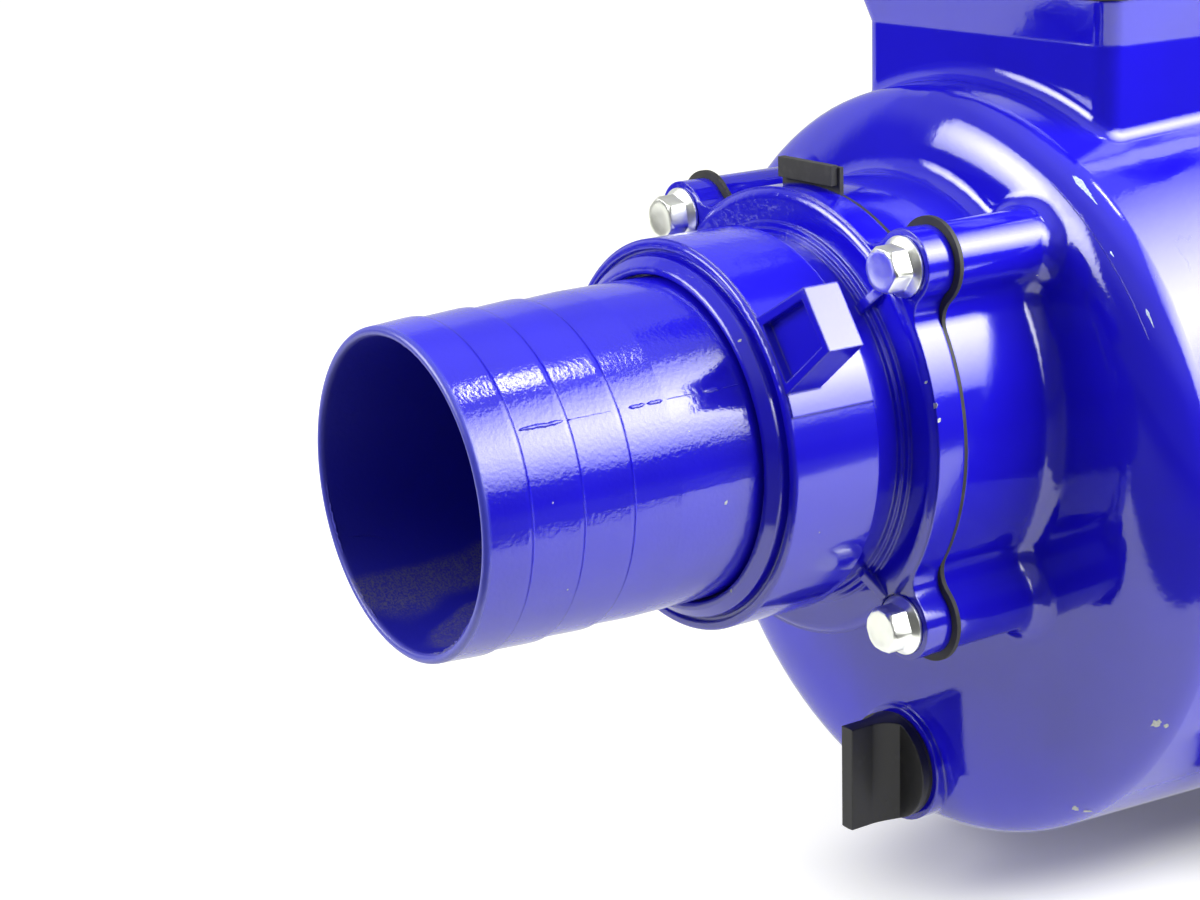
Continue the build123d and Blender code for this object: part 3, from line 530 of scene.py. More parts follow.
def skin_rings(work: Work, rings: Sequence[Sequence[Vector]]) -> None:
    """Skins closed rings of equal length into a closed shell."""
    rows = [[work.verts.new(p) for p in ring] for ring in rings]
    count = len(rows[0])
    for low, high in zip(rows, rows[1:]):
        for i in range(count):
            j = (i + 1) % count
            work.faces.new((low[i], low[j], high[j], high[i]))
    for row in (rows[0], rows[-1]):
        centre = work.verts.new(sum((v.co for v in row), Vector()) / count)
        for i in range(count):
            work.faces.new((row[i], row[(i + 1) % count], centre))


@dataclass(frozen=True)
class FlangeBolt:
    """Hexagon bolt with a collar, standing on its seat along +Z; sizes in millimetres."""

    across_flats: float = 13.2
    collar_r: float = 9.4
    collar_edge: float = 1.2
    collar_top: float = 2.6
    head: float = 9.2
    segments: int = 48

    def flat_radius(self, angle: float) -> float:
        """Radius of the hexagon, its corners cut round, at an angle in degrees."""
        off = math.radians((angle % 60.0) - 30.0)
        half = self.across_flats / 2
        return min(half / math.cos(off), half * 1.125)

    def fill(self, work: Work) -> None:
        """Adds the bolt's rings to a bmesh, from the seat to the middle of the head."""
        half = self.across_flats / 2
        angles = [360.0 * i / self.segments for i in range(self.segments)]

        def ring(radius: Callable[[float], float], height: Callable[[float], float]) -> list[Vector]:
            """One ring of points from a radius and a height that depend on the angle."""
            made = []
            for a in angles:
                r, z, t = radius(a) * MM, height(a) * MM, math.radians(a)
                made.append(Vector((r * math.cos(t), r * math.sin(t), z)))
            return made

        def flat(value: float) -> Callable[[float], float]:
            """A function that gives one value everywhere."""
            return lambda a: value

        collar = (
            (self.collar_r - 0.4, -0.05),
            (self.collar_r, 0.25),
            (self.collar_r, self.collar_edge - 0.2),
            (self.collar_r - 0.25, self.collar_edge),
        )
        face = ((half - 0.7, 0.0), (half - 1.5, -0.02), (half - 2.1, -0.14), (1.2, -0.16))
        rings = [ring(flat(radius), flat(height)) for radius, height in collar]
        rings += [
            ring(lambda a: self.flat_radius(a) + 0.7, flat(self.collar_top - 0.35)),
            ring(lambda a: self.flat_radius(a) + 0.12, flat(self.collar_top)),
            ring(self.flat_radius, flat(self.collar_top + 0.4)),
            ring(self.flat_radius, lambda a: self.head - 0.45 - 0.75 * (self.flat_radius(a) - half)),
            ring(lambda a: min(self.flat_radius(a), half * 1.03) - 0.25, flat(self.head - 0.12)),
        ]
        rings += [ring(flat(radius), flat(self.head + height)) for radius, height in face]
        skin_rings(work, rings)


@dataclass
class BoltPattern:
    """Bolts of one size on their seats, set out by Geometry Nodes."""

    name: str
    seats: list[tuple[Vector, Vector]]
    bolt: FlangeBolt
    scale: float = 1.0
    seed: int = 7

    def tree(self, master: Piece, material: Material) -> bpy.types.NodeTree:
        """Makes the Geometry Nodes tree that puts a bolt on every seat.

        Args:
            master: the object with one bolt.
            material: the bolts' material.

        Returns:
            The node tree, with the named inputs Size and Seed.
        """
        tree = bpy.data.node_groups.new(self.name + "_tree", "GeometryNodeTree")
        for name, kind in (("Geometry", "Geometry"), ("Size", "Float"), ("Seed", "Int")):
            tree.interface.new_socket(name, in_out="INPUT", socket_type="NodeSocket" + kind)
        tree.interface.new_socket("Geometry", in_out="OUTPUT", socket_type="NodeSocketGeometry")
        graph = Graph(tree)
        given = graph.add("NodeGroupInput")
        out = graph.add("NodeGroupOutput")
        facing = graph.add("GeometryNodeInputNamedAttribute", {"Name": "facing"}, data_type="FLOAT_VECTOR")
        spin = graph.add("FunctionNodeRandomValue", {"Seed": given.outputs["Seed"]}, data_type="FLOAT")
        spin.inputs[2].default_value = 0.0
        spin.inputs[3].default_value = math.radians(60.0)
        turned = graph.add("ShaderNodeCombineXYZ", {"Z": spin.outputs[1]})
        aim = graph.add("FunctionNodeAlignRotationToVector", {"Vector": facing.outputs[0]}, axis="Z")
        both = {0: aim.outputs[0], 1: turned.outputs[0]}
        rotate = graph.add("FunctionNodeRotateRotation", both, rotation_space="LOCAL")
        piece = graph.add("GeometryNodeObjectInfo", {"Object": master}, transform_space="ORIGINAL")
        placing = {
            "Points": given.outputs["Geometry"],
            "Instance": piece.outputs["Geometry"],
            "Rotation": rotate.outputs[0],
            "Scale": given.outputs["Size"],
        }
        placed = graph.add("GeometryNodeInstanceOnPoints", placing)
        real = graph.add("GeometryNodeRealizeInstances", {"Geometry": placed.outputs[0]})
        dressed = graph.add("GeometryNodeSetMaterial", {"Geometry": real.outputs[0], "Material": material})
        graph.put(out.inputs["Geometry"], dressed.outputs[0])
        return tree

    def build(self, material: Material) -> Piece:
        """Builds the pattern as one plain mesh that rides on the pump."""
        master = mesh_object(self.name + "_master", self.bolt.fill, material)
        data = bpy.data.meshes.new(self.name)
        data.from_pydata([tuple(p) for p, _ in self.seats], [], [])
        facing = data.attributes.new("facing", "FLOAT_VECTOR", "POINT")
        for i, (_, out) in enumerate(self.seats):
            facing.data[i].vector = out
        made = link(self.name, data)
        tree = self.tree(master, material)
        modifier = made.modifiers.new("bolts", "NODES")
        modifier.node_group = tree
        values = {"Size": self.scale, "Seed": self.seed}
        for item in tree.interface.items_tree:
            if item.name in values:
                modifier[item.identifier] = values[item.name]
        result = bake(made)
        bpy.data.objects.remove(master)
        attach(result, "root")
        return result


def bake(made: Piece) -> Piece:
    """Turns an object with live modifiers into a plain mesh object."""
    bpy.context.view_layer.update()
    graph = bpy.context.evaluated_depsgraph_get()
    data = bpy.data.meshes.new_from_object(made.evaluated_get(graph), depsgraph=graph)
    made.modifiers.clear()
    old = made.data
    made.data = data
    data.name = made.name
    bpy.data.meshes.remove(old)
    return made


# Sub-assemblies


NODES_BY_FINISH: dict[str, tuple[str, ...]] = {
    "casing": ("rear_cover", "bearing_bracket", "bearing_cap", "pump_casing"),
    "fittings": ("suction_coupling_nut", "outlet_coupling_nut", "suction_flange", "outlet_flange"),
    "suction_tail": ("suction_hose_tail",),
    "outlet_tail": ("outlet_hose_tail",),
    "rubber": (
        *("suction_tail_seal", "outlet_tail_seal", "drain_plug_seal", "filler_plug_seal"),
        *("suction_check_gasket", "outlet_gasket", "rear_cover_gasket"),
    ),
    "plastic": ("drain_plug", "filler_plug"),
    "iron": ("belt_pulley",),
    "steel": ("drive_shaft", "pulley_key"),
    "zinc": ("pulley_washer", "front_grease_nipple", "rear_grease_nipple"),
}


def dress_nodes(nodes: dict[str, Piece], finishes: Finishes) -> None:
    """Gives every CAD node its material."""
    for finish, names in NODES_BY_FINISH.items():
        for name in names:
            nodes[name].data.materials.clear()
            nodes[name].data.materials.append(getattr(finishes, finish))
            log.info("finish of %s: %s", name, finish)


@dataclass
class Bolting:
    """All the bolts: both hose flanges, rim, bracket flange, bearing cap and pulley.

    Pitches are radii, and the other sizes are places along an axis, in millimetres.
    """

    ear_pitch: float = 80.0
    ear_front: float = 11.5
    outlet_x: float = 49.0
    outlet_y: float = 49.5
    outlet_front: float = 12.9
    rim_pitch: float = 140.5
    rim_back: float = -21.5
    bracket_pitch: float = 59.5
    bracket_back: float = -4.5
    cap_pitch: float = 33.0
    cap_back: float = 95.0
    pulley_back: float = 152.0

    def ring(self, pitch: float, count: int, start: float, y: float) -> list[tuple[Vector, Vector]]:
        """Seats on a circle round the drum's axis, facing the rear."""
        seats = []
        for i in range(count):
            t = math.radians(start + 360.0 * i / count)
            p = Vector((pitch * math.cos(t), y, 0)) * MM
            p.z = DRUM_AXIS_Z + pitch * math.sin(t) * MM
            seats.append((p, Vector((0, 1, 0))))
        return seats

    def build(self, finishes: Finishes) -> list[Piece]:
        """Builds every pattern.

        Args:
            finishes: the pump's finishes.

        Returns:
            One object for each pattern.
        """
        suction, outlet = AXES[Side.SUCTION], AXES[Side.OUTLET]
        ears = [(suction.at(self.ear_front, self.ear_pitch, a), suction.out) for a in (45, 135, 225, 315)]
        middle = outlet.at(self.outlet_front)
        corners = [
            (middle + Vector((sx * self.outlet_x, sy * self.outlet_y, 0)) * MM, outlet.out)
            for sx in (-1, 1)
            for sy in (-1, 1)
        ]
        rim = self.ring(self.rim_pitch, 8, 22.5, self.rim_back)
        bracket = self.ring(self.bracket_pitch, 4, 45, self.bracket_back)
        cap = self.ring(self.cap_pitch, 4, 45, self.cap_back)
        shaft_end = [(Vector((0, self.pulley_back * MM, DRUM_AXIS_Z)), Vector((0, 1, 0)))]
        m8 = FlangeBolt()
        patterns = [
            BoltPattern("suction_flange_bolts", ears, m8, seed=3),
            BoltPattern("outlet_flange_bolts", corners, m8, seed=5),
            BoltPattern("rim_bolts", rim, m8, seed=8),
            BoltPattern("bracket_bolts", bracket, m8, seed=2),
            BoltPattern("bearing_cap_screws", cap, m8, 0.6, 4),
            BoltPattern("pulley_bolt", shaft_end, m8, seed=9),
        ]
        return [pattern.build(finishes.zinc) for pattern in patterns]


@dataclass(frozen=True)
class Bead:
    """A low ragged ridge on a surface; sizes in millimetres."""

    half: float
    height: float
    wander: float
    step: float
    seed: int
    taper: float = 0.5
    section: tuple[tuple[float, float], ...] = (
        *((-1.0, -0.2), (-0.6, 0.55), (-0.1, 1.0)),
        *((0.35, 0.8), (0.75, 0.3), (1.0, -0.2)),
    )

    def fill(self, work: Work, path: Line, length: float) -> None:
        """Adds the ridge.

        Args:
            work: the bmesh that takes it.
            path: gives place, outward normal and sideways direction at a share of the length.
            length: the ridge's length.
        """
        dice = random.Random(self.seed)
        steps = max(6, int(length / self.step))
        release = 5 if self.taper < 1 else 1.3
        drift = 0.0
        rings = []
        for i in range(steps + 1):
            t = i / steps
            place, normal, side = path(t)
            fade = min(1.0, 5 * t, release * (1 - t)) ** self.taper
            drift = 0.7 * drift + dice.uniform(-self.wander, self.wander)
            tall = self.height * fade * dice.uniform(0.6, 1.0)
            half = self.half * fade * dice.uniform(0.85, 1.15) + 0.06
            centre = place + side * (drift * fade * MM)
            ring = [
                centre + side * (across * half * MM) + normal * (lift * tall * MM - 0.02 * MM)
                for across, lift in self.section
            ]
            ring.append(centre - normal * (0.45 * MM))
            rings.append(ring)
        skin_rings(work, rings)


@dataclass
class TailMark:
    """A mark that the moulding left on a hose tail; fill adds it to a bmesh."""

    side: Side
    label: str = ""
    smooth: float = 40.0

    def fill(self, work: Work) -> None:
        """Adds the mark."""
        raise NotImplementedError

    def build(self, material: Material) -> Piece:
        """Builds the mark as one object on the tail."""
        made = mesh_object(f"{self.side.value}_{self.label}", self.fill, material, self.smooth)
        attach(made, "root")
        return made


@dataclass
class PartingFlash(TailMark):
    """Rough remains of the mould's parting line along a hose tail."""

    label: str = "tail_flash"
    smooth: float = 50.0
    angle: float = 31.4
    tail_r: float = 51.0
    root_r: float = 50.2
    shoulders: tuple[float, ...] = (90.0, 107.25, 124.5)
    slope: float = 15.5
    mouth_start: float = 142.5
    raised: tuple[tuple[float, float, float, float], ...] = (
        (124.8, 139.6, 0.75, 0.55),
        (90.8, 96.5, 0.62, 0.48),
        (96.8, 102.6, 0.62, 0.48),
        (70.2, 76.8, 0.65, 0.42),
    )
    thin: tuple[tuple[float, float], ...] = ((143.0, 153.0), (107.0, 124.0), (78.5, 90.0), (62.5, 69.5))

    def radius(self, reach: float) -> float:
        """The tail's radius at a reach, in millimetres."""
        for start in self.shoulders:
            if start <= reach <= start + self.slope:
                return self.tail_r + (self.root_r - self.tail_r) * (reach - start) / self.slope
        return self.root_r if reach > self.mouth_start else self.tail_r

    def path(self, start: float, end: float) -> Line:
        """The line on the tail between two reaches."""
        axis = AXES[self.side]

        def where(t: float) -> Spot:
            """Place, normal and sideways direction at a share of the stretch."""
            reach = start + (end - start) * t
            place = axis.at(reach, self.radius(reach), self.angle)
            normal = (place - axis.at(reach)).normalized()
            return place, normal, axis.out.cross(normal)

        return where

    def fill(self, work: Work) -> None:
        """Adds the raised stretches and the fine line between them."""
        for i, (start, end, half, height) in enumerate(self.raised):
            Bead(half, height, 0.12, 0.7, 11 + i).fill(work, self.path(start, end), end - start)
        for i, (start, end) in enumerate(self.thin):
            Bead(0.16, 0.10, 0.06, 1.0, 31 + i).fill(work, self.path(start, end), end - start)


@dataclass
class MouthBurr(TailMark):
    """Ragged fin that the trimming left on the inner edge of a tail's mouth."""

    label: str = "mouth_burr"
    smooth: float = 35.0
    radius: float = 47.3
    reach: float = 154.9
    bore_r: float = 47.2
    score_start: float = 151.5
    score_length: float = 12.0
    arcs: tuple[tuple[float, float, float], ...] = (
        (-172.0, -144.0, 0.9),
        (-78.0, -28.0, 0.8),
        (-128.0, -110.0, 0.5),
        (60.0, 84.0, 0.4),
    )

    def fill(self, work: Work) -> None:
        """Adds one thin fin for each arc."""
        axis = AXES[self.side]
        dice = random.Random(23)
        for start, end, deep in self.arcs:
            steps = max(8, int((end - start) / 1.3))
            rings = []
            for i in range(steps + 1):
                t = i / steps
                angle = start + (end - start) * t
                fade = min(1.0, 4 * t, 4 * (1 - t)) ** 0.5
                tall = deep * fade * dice.uniform(0.15, 1.0)
                tip = self.reach + 0.5 * fade * dice.uniform(-0.5, 1.0)
                corners = (
                    (self.reach - 1.3, self.radius + 0.15),
                    (self.reach - 0.5, self.radius - 0.35 * tall),
                    (tip - 0.1, self.radius - tall),
                    (tip + 0.15, self.radius - 0.85 * tall),
                    (self.reach + 0.35, self.radius + 0.3),
                    (self.reach - 0.4, self.radius + 0.8),
                )
                rings.append([axis.at(reach, radius, angle) for reach, radius in corners])
            skin_rings(work, rings)
        Bead(0.22, 0.22, 0.06, 0.8, 91).fill(work, self.score, self.score_length)

    def score(self, t: float) -> Spot:
        """Place, normal and sideways direction along a score in the bore."""
        axis = AXES[self.side]
        reach = self.score_start - self.score_length * t
        place = axis.at(reach, self.bore_r, -150.0 + 4.0 * t * t)
        normal = (axis.at(reach) - place).normalized()
        return place, normal, axis.out.cross(normal)


class Skin:
    """The outside of a CAD node, for marks that sit on it."""

    def __init__(self, node: Piece) -> None:
        """Reads the node's mesh."""
        self.tree = BVHTree.FromPolygons(
            [v.co.copy() for v in node.data.vertices], [tuple(f.vertices) for f in node.data.polygons]
        )

    def near(self, place: Vector) -> tuple[Vector, Vector]:
        """The nearest point of the skin and its outward normal."""
        point, normal, _, _ = self.tree.find_nearest(place)
        return point, normal


@dataclass
class DrumSeam:
    """Mould seam round the drum's front corner, with smeared flash and light scuffs; the flash slivers are
    coloured pale as a painted highlight.
    """

    casing: Skin
    seam_y: float = -189.3
    seam_r: float = 121.2
    start: float = 60.0
    end: float = 31.0
    scuff_r: float = 128.4
    smears: tuple[tuple[float, float, float, float, float], ...] = (
        (59.2, 49.2, 126.0, -185.4, 1.0),
        (36.0, 31.0, 123.6, -188.0, 0.5),
        (45.5, 43.8, 122.6, -188.8, 0.35),
    )
    scuffs: tuple[tuple[tuple[float, float], ...], ...] = (
        ((44.4, -169.8), (43.4, -167.6), (44.3, -165.6), (43.0, -163.6), (44.0, -161.8), (43.2, -160.4)),
        ((43.6, -168.8), (42.0, -169.2), (40.6, -168.2), (39.0, -168.9), (38.2, -169.8)),
        ((39.6, -185.2), (39.0, -183.6), (39.4, -182.2), (38.7, -181.0)),
    )

    def spot(self, angle: float, radius: float, y: float) -> Vector:
        """A point by its angle round the drum's axis, radius and y in millimetres."""
        turn = math.radians(angle)
        place = Vector((radius * math.cos(turn), y, radius * math.sin(turn))) * MM
        return place + Vector((0, 0, DRUM_AXIS_Z))

    def line(self, places: Sequence[Vector]) -> tuple[Line, float]:
        """A line over the casing's skin.

        Args:
            places: points near the skin.

        Returns:
            The line, and its length in millimetres.
        """
        pinned = [self.casing.near(p) for p in places]
        gaps = [(b[0] - a[0]).length for a, b in zip(pinned, pinned[1:])]

        def where(t: float) -> Spot:
            """Place, normal and sideways direction at a share of the line."""
            left = t * sum(gaps)
            for i, gap in enumerate(gaps):
                if left <= gap or i == len(gaps) - 1:
                    share = min(1.0, left / gap)
                    break
                left -= gap
            point, normal = self.casing.near(pinned[i][0].lerp(pinned[i + 1][0], share))
            along = (pinned[i + 1][0] - pinned[i][0]).normalized()
            return point, normal, along.cross(normal).normalized()

        return where, sum(gaps) / MM

    def arc(self, start: float, end: float, radius: float, y: float, steps: int) -> list[Vector]:
        """Points round the drum's axis between two angles."""
        return [self.spot(start + (end - start) * i / steps, radius, y) for i in range(steps + 1)]

    def fill(self, work: Work) -> None:
        """Adds the seam."""
        path, length = self.line(self.arc(self.start, self.end, self.seam_r, self.seam_y, 40))
        Bead(0.22, 0.11, 0.03, 1.2, 5).fill(work, path, length)

    def fill_smears(self, work: Work) -> None:
        """Adds the raised slivers beside the seam, whose pale colour is a painted highlight."""
        for i, (start, end, radius, y, half) in enumerate(self.smears):
            path, length = self.line(self.arc(start, end, radius, y, 12))
            Bead(half, 0.10, 0.10, 0.8, 40 + i, taper=1.4).fill(work, path, length)

    def fill_scuffs(self, work: Work) -> None:
        """Adds the scuffs."""
        for i, marks in enumerate(self.scuffs):
            path, length = self.line([self.spot(angle, self.scuff_r, y) for angle, y in marks])
            Bead(0.10, 0.035, 0.06, 0.6, 60 + i).fill(work, path, length)

    def build(self, finishes: Finishes) -> list[Piece]:
        """Builds the seam, its slivers and the scuffs."""
        made = [
            mesh_object("drum_seam", self.fill, finishes.casing, 60.0),
            mesh_object("drum_seam_slivers", self.fill_smears, finishes.sliver_glint, 60.0),
            mesh_object("drum_scuffs", self.fill_scuffs, finishes.scuffed, 60.0),
        ]
        for item in made:
            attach(item, "root")
        return made


CHIPS: dict[str, tuple[tuple[float, float, float, float], ...]] = {
    "pump_casing": (
        (109.6, -187.6, 92.5, 1.9),
        (111.9, -185.6, 91.6, 1.1),
        (75.6, -187.3, 51.9, 1.5),
        (78.8, -185.0, 51.0, 1.3),
        (65.9, -199.0, 228.0, 0.35),
        (118.0, -120.0, 98.0, 0.5),
        (-101.0, -186.0, 205.0, 0.7),
        (-120.0, -104.0, 170.0, 0.8),
    ),
    "suction_flange": (
        (67.6, -244.9, 202.6, 0.6),
        (70.9, -244.4, 196.0, 1.15),
        (72.1, -243.6, 191.6, 0.8),
    ),
    "suction_coupling_nut": (
        (40.2, -293.4, 218.2, 0.65),
        (35.6, -294.6, 139.4, 0.75),
        (59.0, -279.0, 160.5, 0.3),
        (-61.0, -276.0, 190.0, 0.6),
    ),
    "suction_hose_tail": (
        (50.7, -307.1, 173.4, 0.75),
        (50.3, -366.6, 185.1, 0.3),
        (45.7, -359.9, 156.7, 0.35),
        (47.4, -318.0, 196.3, 0.3),
        (-44.0, -340.0, 205.0, 0.5),
    ),
    "bearing_bracket": (
        (96.0, -62.0, 13.0, 0.9),
        (-101.0, 66.0, 12.0, 0.8),
        (22.0, 60.0, 182.0, 0.5),
    ),
}


@dataclass
class PaintChips:
    """Chips down to the casting; each has a place in millimetres and a size."""

    segments: int = 13

    def flake(
        self, work: Work, point: Vector, normal: Vector, size: float, dice: random.Random
    ) -> None:
        """Adds one ragged flake that follows the surface."""
        side = normal.orthogonal().normalized()
        other = normal.cross(side)
        turn = dice.uniform(0.0, math.tau)
        radii = [size * dice.uniform(0.55, 1.1) for _ in range(self.segments)]
        rings = []
        for scale, lift in ((1.0, -0.10), (0.97, 0.035), (0.6, 0.05)):
            ring = []
            for i, r in enumerate(radii):
                a = turn + math.tau * i / self.segments
                across = side * (math.cos(a) * 1.15) + other * (math.sin(a) * 0.8)
                ring.append(point + across * (r * scale * MM) + normal * (lift * MM))
            rings.append(ring)
        skin_rings(work, rings)

    def build(self, nodes: dict[str, Piece], material: Material) -> Piece:
        """Builds all the chips as one object.

        Args:
            nodes: the CAD nodes by name.
            material: the chips' material.

        Returns:
            The chips.
        """
        dice = random.Random(77)

        def fill(work: Work) -> None:
            """Adds every chip on its node."""
            for name, marks in CHIPS.items():
                skin = Skin(nodes[name])
                for x, y, z, size in marks:
                    point, normal = skin.near(Vector((x, y, z)) * MM)
                    self.flake(work, point, normal, size, dice)

        made = mesh_object("paint_chips", fill, material, 30.0)
        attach(made, "root")
        return made


# Studio


@dataclass(frozen=True)
class Lamp:
    """A rectangular softbox seen from the pump in a direction, brightest in its middle.

    Angles are in degrees, lengths in metres; core and rim are radiances.
    """

    name: str
    azimuth: float
    elevation: float
    distance: float
    width: float
    height: float
    core: float
    rim: float
    squash: float = 0.8
    spin: float = 0.0
    spread: float = 0.60
    fade: float = 1.35

    def build(self, target: Vector) -> None:
        """Makes the lamp.

        Args:
            target: the point that it is aimed at.
        """
        a, e = math.radians(self.azimuth), math.radians(self.elevation)
        away = Vector((math.sin(a) * math.cos(e), -math.cos(a) * math.cos(e), math.sin(e)))
        data = bpy.data.lights.new(self.name, "AREA")
        data.shape = "RECTANGLE"
        data.size = self.width
        data.size_y = self.height
        data.energy = math.pi * self.width * self.height
        data.use_nodes = True
        self.glow(Graph(data.node_tree))
        made = link(self.name, data)
        made.location = target + away * self.distance
        aim = (-away).to_track_quat("-Z", "Y").to_matrix()
        made.rotation_euler = (aim @ Matrix.Rotation(math.radians(self.spin), 3, "Z")).to_euler()

    def glow(self, graph: Graph) -> None:
        """Radiance that falls from the core to the rim of the cloth."""
        place = graph.add("ShaderNodeNewGeometry").outputs["Parametric"]
        centred = graph.vector("SUBTRACT", place, (0.5, 0.5, 0.0))
        off = graph.vector("LENGTH", graph.vector("MULTIPLY", centred, (self.squash, 1.0, 0.0)))
        near = graph.math("SUBTRACT", 1.0, graph.math("DIVIDE", off, self.spread), clamp=True)
        near = graph.math("POWER", near, self.fade)
        level = graph.math("ADD", self.rim, graph.math("MULTIPLY", near, self.core - self.rim))
        light = graph.add("ShaderNodeEmission", {"Color": (1, 1, 1, 1), "Strength": level})
        graph.add("ShaderNodeOutputLight", {"Surface": light.outputs[0]})


@dataclass
class Studio:
    """White table, dim surroundings, softboxes and the camera of the photograph."""

    eye: Vector = field(default_factory=lambda: Vector((0.6052, -0.7135, 0.3870)))
    yaw: float = 0.99132
    pitch: float = -0.27840
    roll: float = -0.033756
    lens: float = 73.59
    target: Vector = field(default_factory=lambda: Vector((0.04, -0.24, 0.19)))
    # Reach of the painted shadow on the floor, in metres
    shadow_front: float = -0.12
    shadow_back: float = 0.22
    shadow_step: tuple[float, float] = (0.045, 0.13)
    far_step: tuple[float, float] = (0.2, 1.5)
    room: float = 0.09
    ceiling: float = 0.33
    ceiling_step: tuple[float, float] = (0.24, 0.55)
    zenith: float = 0.25
    zenith_step: tuple[float, float] = (0.70, 0.92)
    wall: float = 0.7
    wall_side: Point = (-0.98, 0.19, 0.0)
    wall_step: tuple[float, float] = (0.70, 0.82)
    lamps: tuple[Lamp, ...] = (
        Lamp("softbox_right", 131.0, 33.5, 1.0, 1.36, 0.92, 13.0, 1.0, squash=0.75),
        Lamp("softbox_left", -29.0, 28.0, 1.6, 1.10, 0.80, 15.5, 3.5),
        Lamp("spot_strip", 148.7, 68.2, 1.16, 0.22, 0.08, 22.0, 13.0, spin=31.0),
    )
    table: tuple[tuple[float, float], ...] = (
        *((0.30, -0.37), (4.0, 6.3), (-12.0, 14.0)),
        *((-14.0, -6.6), (-0.85, -0.74), (-0.70, -1.05)),
    )

    def camera(self) -> None:
        """Makes the camera at the photograph's place."""
        level = math.cos(self.pitch)
        forward = Vector((-math.sin(self.yaw) * level, math.cos(self.yaw) * level, math.sin(self.pitch)))
        right = Vector((math.cos(self.yaw), math.sin(self.yaw), 0))
        up = right.cross(forward)
        c, s = math.cos(self.roll), math.sin(self.roll)
        x_axis, y_axis = right * c + up * s, up * c - right * s
        data = bpy.data.cameras.new("camera")
        data.lens = self.lens
        data.sensor_width = 36.0
        data.clip_start, data.clip_end = 0.01, 100.0
        made = link("camera", data)
        turn = Matrix((x_axis, y_axis, -forward)).transposed().to_4x4()
        made.matrix_world = Matrix.Translation(self.eye) @ turn
        bpy.context.scene.camera = made

    def outside_painted_shadow(self, graph: Graph) -> Socket:
        """How far a point of the floor is clear of the painted shadow round the pump: 0 near it, 1.05 clear
        of it, up to 1.35 far off.
        """
        x, y, _ = graph.split(graph.add("ShaderNodeTexCoord").outputs["Object"])
        narrow = graph.math("SUBTRACT", 2.0, graph.math("MULTIPLY", graph.ramp(y, -0.10, 0.05), 1.45))
        before = graph.math("SUBTRACT", self.shadow_front, y)
        behind = graph.math("SUBTRACT", y, self.shadow_back)
        beyond = graph.math("MAXIMUM", 0.0, graph.math("MAXIMUM", before, behind))
        flat = {"X": graph.math("MULTIPLY", x, narrow), "Y": beyond}
        away = graph.vector("LENGTH", graph.add("ShaderNodeCombineXYZ", flat).outputs[0])
        near = graph.math("MULTIPLY", graph.ramp(away, *self.shadow_step), 1.05)
        return graph.plus(near, graph.ramp(away, *self.far_step), 0.3)

    def paper(self, name: str, colour: Point, glow: float, mirrored: float) -> Material:
        """Matt paper that glows towards white for the camera and for reflections, less so round the pump,
        which paints a shadow there.

        Args:
            name: the material's name.
            colour: its colour under the lamps.
            glow: strength added for camera and transmission rays; it is cut round the pump, which paints the
                shadow there.
            mirrored: strength added for glossy rays.

        Returns:
            The material.
        """
        material = bpy.data.materials.new(name)
        material.use_nodes = True
        graph = Graph(material.node_tree)
        rays = graph.add("ShaderNodeLightPath").outputs
        seen = graph.math("MAXIMUM", rays["Is Camera Ray"], rays["Is Transmission Ray"])
        # The diffuse part keeps the real shadow; the camera glow is cut round the pump, which paints a
        # deeper shadow on the floor
        lift = graph.plus(0.12, self.outside_painted_shadow(graph), glow)
        level = graph.plus(graph.math("MULTIPLY", seen, lift), rays["Is Glossy Ray"], mirrored)
        matt = graph.add("ShaderNodeBsdfDiffuse", {"Color": rgba(colour)})
        glowing = graph.add("ShaderNodeEmission", {"Color": (1.0, 1.0, 0.9, 1.0), "Strength": level})
        both = graph.add("ShaderNodeAddShader", {0: matt.outputs[0], 1: glowing.outputs[0]})
        graph.add("ShaderNodeOutputMaterial", {"Surface": both.outputs[0]})
        return material

    def floor(self) -> None:
        """Makes the white table, whose corner is near the camera, and the floor a little under it."""
        wide = ((-14.0, -14.0), (14.0, -14.0), (14.0, 14.0), (-14.0, 14.0))
        white = self.paper("table_paper", (0.62, 0.62, 0.60), 0.50, 0.45)
        dark = self.paper("floor_paper", (0.10, 0.10, 0.10), 0.90, 0.0)
        sheets = (("studio_table", self.table, 0.0, white), ("studio_floor", wide, -0.004, dark))
        for name, outline, height, material in sheets:
            data = bpy.data.meshes.new(name)
            data.from_pydata([(x, y, height) for x, y in outline], [], [tuple(range(len(outline)))])
            data.materials.append(material)
            made = link(name, data)

    def world(self) -> None:
        """Dim room with a pale ceiling and a wall; the camera sees it white."""
        world = bpy.data.worlds.new("studio")
        world.use_nodes = True
        graph = Graph(world.node_tree)
        ray = graph.add("ShaderNodeTexCoord").outputs["Generated"]
        height = graph.split(ray)["Z"]
        room = graph.plus(self.room, graph.ramp(height, *self.ceiling_step), self.ceiling)
        room = graph.plus(room, graph.ramp(height, *self.zenith_step), self.zenith)
        facing = graph.ramp(graph.vector("DOT_PRODUCT", ray, self.wall_side), *self.wall_step)
        level = graph.math("MAXIMUM", room, graph.math("MULTIPLY", facing, self.wall))
        rays = graph.add("ShaderNodeLightPath").outputs
        plain = graph.math("MAXIMUM", rays["Is Camera Ray"], rays["Is Transmission Ray"])
        strength = graph.math("MAXIMUM", level, plain)
        back = graph.add("ShaderNodeBackground", {"Color": (1, 1, 1, 1), "Strength": strength})
        graph.add("ShaderNodeOutputWorld", {"Surface": back.outputs[0]})
        bpy.context.scene.world = world

    def build(self) -> None:
        """Builds the whole studio."""
        bpy.context.scene.view_settings.view_transform = "Standard"
        self.camera()
        self.floor()
        self.world()
        for lamp in self.lamps:
            lamp.build(self.target)


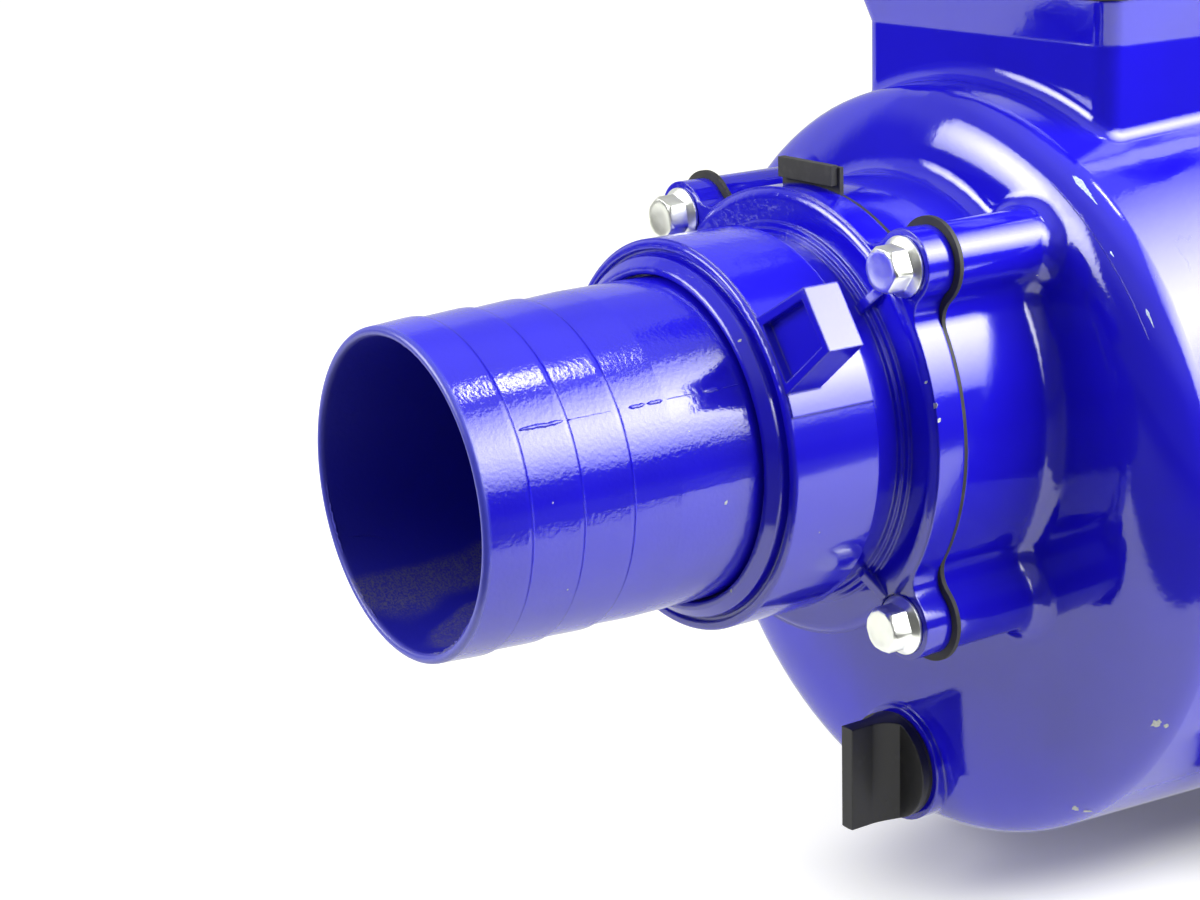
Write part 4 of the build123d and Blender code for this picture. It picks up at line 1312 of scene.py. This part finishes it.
def main() -> None:
    """Builds every part of the scene in order."""
    logging.basicConfig(level=logging.INFO, format="%(name)s: %(message)s")
    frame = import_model()
    finishes = Finishes()
    dress_nodes(frame["nodes"], finishes)
    made = Bolting().build(finishes)
    for side, material in ((Side.SUCTION, finishes.suction_tail), (Side.OUTLET, finishes.outlet_tail)):
        made += [PartingFlash(side).build(material), MouthBurr(side).build(material)]
    made += DrumSeam(Skin(frame["nodes"]["pump_casing"])).build(finishes)
    made.append(PaintChips().build(frame["nodes"], finishes.chip))
    for piece in made:
        log.info("piece %s: %d faces", piece.name, len(piece.data.polygons))
    Studio().build()


if __name__ == "__main__":
    main()
